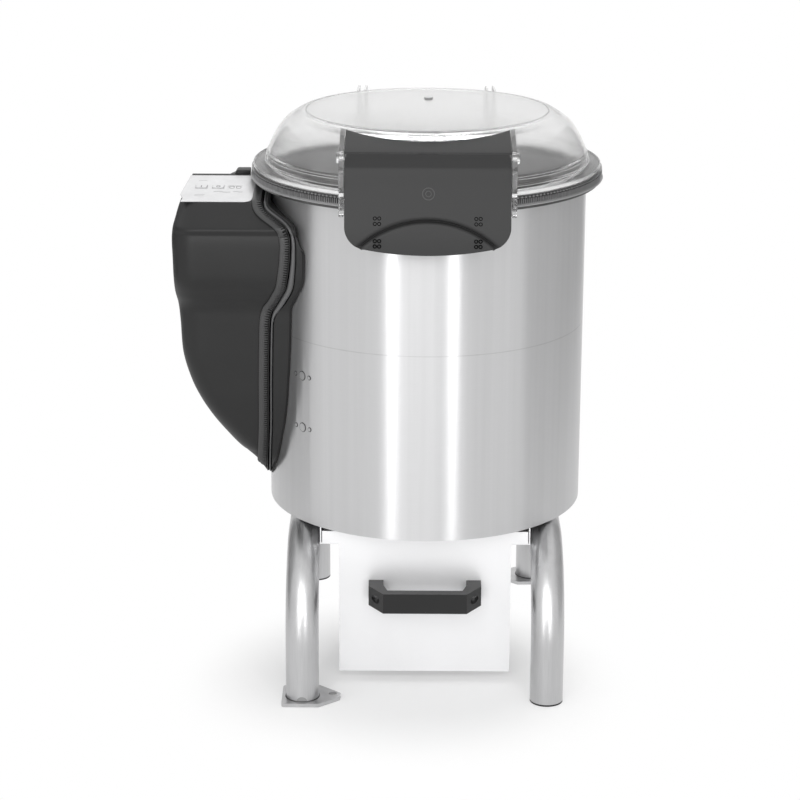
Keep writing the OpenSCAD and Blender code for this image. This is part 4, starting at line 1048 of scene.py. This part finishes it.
def key_top(tag):
    """Height of a key's face over the panel."""
    points = [v.co / MM for v in NODES["key_" + tag].data.vertices]
    return max((v.z - PANEL_Z) * math.cos(TILT) - (v.y - PANEL_Y) * math.sin(TILT) for v in points)


film = panel_sheet()
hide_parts("control_panel")
for ob in display():
    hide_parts("timer_display")
lines = [bar(-22.0, -23.5, 12.0, 1.0), bar(-22.5, -28.15, 11.0, 0.7), bar(-22.0, 30.5, 10.0, 1.0)]
plates("panel_marks", [wave(-6.0, 14.0, -13.0, 1.6), wave(17.5, 29.0, -12.4, 1.2)] + lines, PRINT_Z,
       PRINT_Z + 0.22, "mark_grey", "frame")
for tag, x in KEYS:
    plates("key_frame_" + tag, [bar(x, KEY_Y + s * 6.4, 16.0, 0.4) for s in (-1, 1)], PRINT_Z, PRINT_Z + 0.2,
           "mark_grey", "frame")
    sign = [bar(x, KEY_Y, 1.2, 5.4)] if tag == "start" else ring_lines(x, KEY_Y, 2.2, 2.5, 0.9)
    top = key_top(tag)
    plates("key_sign_" + tag, sign, top - 0.1, top + 0.15, "ink", tag + "_key")


# Lid switch with a rounded shoulder

CAP = rounded([(-243.0, 599.6), (-236.5, 602.4), (-233.5, 607.6), (-217.2, 607.6), (-217.2, 599.6)],
              [0, 2.5, 3.5, 1.0, 0], 6)
cap = prism("switch_cap", CAP, (15.0, 34.9), "y", M["black_plastic"], "frame", bevel=0.8)
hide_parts("lid_switch_cap")


# Clear heads and shafts of the door's pins

PIN_HEAD_R, PIN_R, PIN_START, PIN_END = 6.5, 5.0, 93.0, 105.0
for tag, s in (("left", -1), ("right", 1)):
    for part, r, x0, x1, bevel in (("head", PIN_HEAD_R, CHEEK_OUT, PIN_END, 0.8),
                                   ("shaft", PIN_R, PIN_START, CHEEK_OUT, 0.0)):
        pin = prism(f"door_pin_{part}_{tag}", ellipse(PIN_Y, PIN_Z, r, r, 32), (s * x0, s * x1), "x",
                    M["clear_plastic"], "door", bevel)
        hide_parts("door_pins")


# Fine dark outlines where the skirt's fixings meet the drum

def islands(me):
    """Corners of each separate piece of a mesh, in the order of its points."""
    bm = bmesh.new()
    bm.from_mesh(me)
    bmesh.ops.remove_doubles(bm, verts=bm.verts, dist=1e-5)
    seen, out = set(), []
    for first in bm.verts:
        todo, piece = [first], []
        while todo:
            v = todo.pop()
            if v not in seen:
                seen.add(v)
                piece.append(v.co.copy())
                todo += [e.other_vert(v) for e in v.link_edges]
        if piece:
            out.append(piece)
    bm.free()
    return out


def fixing_edge(name, pts):
    """Thin ring on the drum round a fixing's head."""
    mid = sum(pts, Vector()) / len(pts) / MM
    r = (max(p.z for p in pts) - min(p.z for p in pts)) / MM / 2
    out = Vector((mid.x, mid.y, 0)).normalized()
    side = Vector((-out.y, out.x, 0))
    at = Vector((0, 0, mid.z)) + out * (R + 0.15)
    verts = []
    for a in turns(24):
        e = side * math.cos(a) + Vector((0, 0, 1)) * math.sin(a)
        for past, height in ((0.1, -0.6), (0.1, 0.25), (0.9, 0.25), (0.9, -0.6)):
            verts.append(tuple(at + e * (r + past) + out * height))
    make(name, verts, loop_faces(24, 4, True), M["fixing_dark"], "frame")


for i, pts in enumerate(islands(NODES["skirt_fixings"].data)):
    fixing_edge(f"fixing_edge_{i}", pts)


# Plated feet: a light grey half-disc filling the tube's notch, and the weld bead round the tube

FOOT_X, FOOT_Y, PLATE_T, LEG_R = 148.0, 206.5, 4.5, 20.0
NOTCH_FILL_R, NOTCH_FILL_ENDS, WELD_BEAD_R = 6.3, (224.5, 225.3), 0.9
for tag, s in (("left", -1), ("right", 1)):
    half_turn = [math.pi * i / 16 for i in range(17)]
    notch_outline = [(s * (FOOT_X + NOTCH_FILL_R * math.cos(a)), PLATE_T + NOTCH_FILL_R * math.sin(a)) for a in half_turn]
    prism("foot_notch_fill_" + tag, notch_outline, [s * y for y in NOTCH_FILL_ENDS], "y", M["lip_grey"], "frame")
    ring = ellipse(s * FOOT_X, s * FOOT_Y, LEG_R + 0.2, LEG_R + 0.2, 48)
    tube_along("foot_weld_" + tag, [(x, y, PLATE_T + 0.1) for x, y in ring + ring[:1]], WELD_BEAD_R, 8,
               M["fixing_dark"], "frame")


# Camera of the photograph: angles in degrees, focal length and image in pixels, places in metres

ELEVATION, AZIMUTH, ROLL = 17.0636, 0.2462, 0.2045
FOCAL, IMAGE, SENSOR = 2379.119, 800, 36
TARGET, DISTANCE = (-0.0318, 0, 0.3173), 2.99802


def add_camera():
    e, a, roll = math.radians(ELEVATION), math.radians(AZIMUTH), math.radians(ROLL)
    back = Vector((math.sin(a) * math.cos(e), -math.cos(a) * math.cos(e), math.sin(e)))
    right = Vector((math.cos(a), math.sin(a), 0))
    side = right * math.cos(roll) + back.cross(right) * math.sin(roll)
    up = back.cross(side)
    cam = bpy.data.cameras.new("camera")
    cam.lens = SENSOR * FOCAL / IMAGE
    cam.sensor_width = SENSOR
    cam.dof.use_dof = False
    cam.clip_end = 60
    ob = link("camera", cam)
    at = Vector(TARGET) + back * DISTANCE
    ob.matrix_world = Matrix(((side.x, up.x, back.x, at.x), (side.y, up.y, back.y, at.y),
                              (side.z, up.z, back.z, at.z), (0, 0, 0, 1)))
    bpy.context.scene.camera = ob


# Lights, background, floor and two cards

MIDDLE = (0, 0, 0.35)


def add_light(name, at, to, size, power, size_y=None):
    li = bpy.data.lights.new(name, "AREA")
    li.shape = "RECTANGLE"
    li.size, li.size_y = size, size_y or size
    li.energy = power
    ob = link(name, li)
    ob.location = at
    ob.rotation_euler = (Vector(to) - Vector(at)).to_track_quat("-Z", "Y").to_euler()
    ob.visible_camera = False
    return ob


def seen(nt):
    """1 where the white background shows: to the camera, and in what mirrors it or lets it through."""
    return rays(nt, "Is Camera Ray", "Is Glossy Ray", "Is Transmission Ray")


def add_world():
    world = bpy.data.worlds.new("studio")
    bpy.context.scene.world = world
    world.use_nodes = True
    nt = world.node_tree
    nt.nodes.clear()
    soft, white = [node(nt, "Background", {"Color": (1, 1, 1, 1), "Strength": s}) for s in (0.52, 1.0)]
    mix_out(nt, node(nt, "OutputWorld"), seen(nt), soft, white)


def matte(name, tone):
    mat, nt, bs = new_material(name)
    fill(nt, bs, {"Base Color": (tone, tone, tone, 1), "Roughness": 0.9, "Specular IOR Level": 0.0})
    return mat, nt, bs


def add_floor():
    """Pale floor that turns white away from the object, and keeps its shadow under it."""
    me = bpy.data.meshes.new("floor")
    me.from_pydata([(x, y, -0.0004) for x, y in bar(0, 0, 24.0, 24.0)], [], [(0, 1, 2, 3)])
    ob = link("floor", me)
    mat, nt, bs = matte("floor", 0.93)
    white = node(nt, "Emission", {"Color": (1, 1, 1, 1)})
    spot = node(nt, "Mapping", {"Vector": place(nt), "Location": (0.04, 0.27, 0), "Scale": (1.7, 1.6, 1)})
    away = node(nt, "VectorMath", {0: spot.outputs[0]})
    away.operation = "LENGTH"
    values = {"Value": away.outputs["Value"], "From Min": 0.18, "From Max": 0.50, "To Min": 0.25}
    far = node(nt, "MapRange", values)
    far.interpolation_type = "SMOOTHSTEP"
    mix_out(nt, nt.nodes["Material Output"], calc(nt, "MULTIPLY", far.outputs[0], seen(nt)), bs, white)
    me.materials.append(mat)


def add_card(name, x, y0, tone, y1=2.2, height=1.3):
    """Grey card standing beside the object, unseen by the camera, for the steel to mirror."""
    me = bpy.data.meshes.new(name)
    me.from_pydata([(x, y0, 0), (x, y1, 0), (x, y1, height), (x, y0, height)], [], [(0, 1, 2, 3)])
    ob = link(name, me)
    me.materials.append(matte(name, tone)[0])
    ob.visible_camera = False
    ob.visible_transmission = False
    ob.visible_shadow = False


add_camera()
add_world()
add_floor()
add_card("card_left", -1.25, -0.14, 0.36)
add_card("card_right", 1.15, -0.45, 0.52)
add_light("top", (0.0, 0.3, 2.2), (0, 0, 0.3), 0.9, 27).visible_glossy = False
add_light("front_fill", (-0.3, -2.6, 1.7), MIDDLE, 1.6, 24)
add_light("fill_left", (-1.44, -0.9, 0.62), MIDDLE, 0.8, 4, 1.2).visible_glossy = False
add_light("strip_left", (-0.63, -1.49, 0.62), MIDDLE, 0.10, 3.4, 1.3)
add_light("strip_right", (0.53, -1.63, 0.62), MIDDLE, 0.12, 3.8, 1.3)
bpy.context.scene.view_settings.view_transform = "Standard"
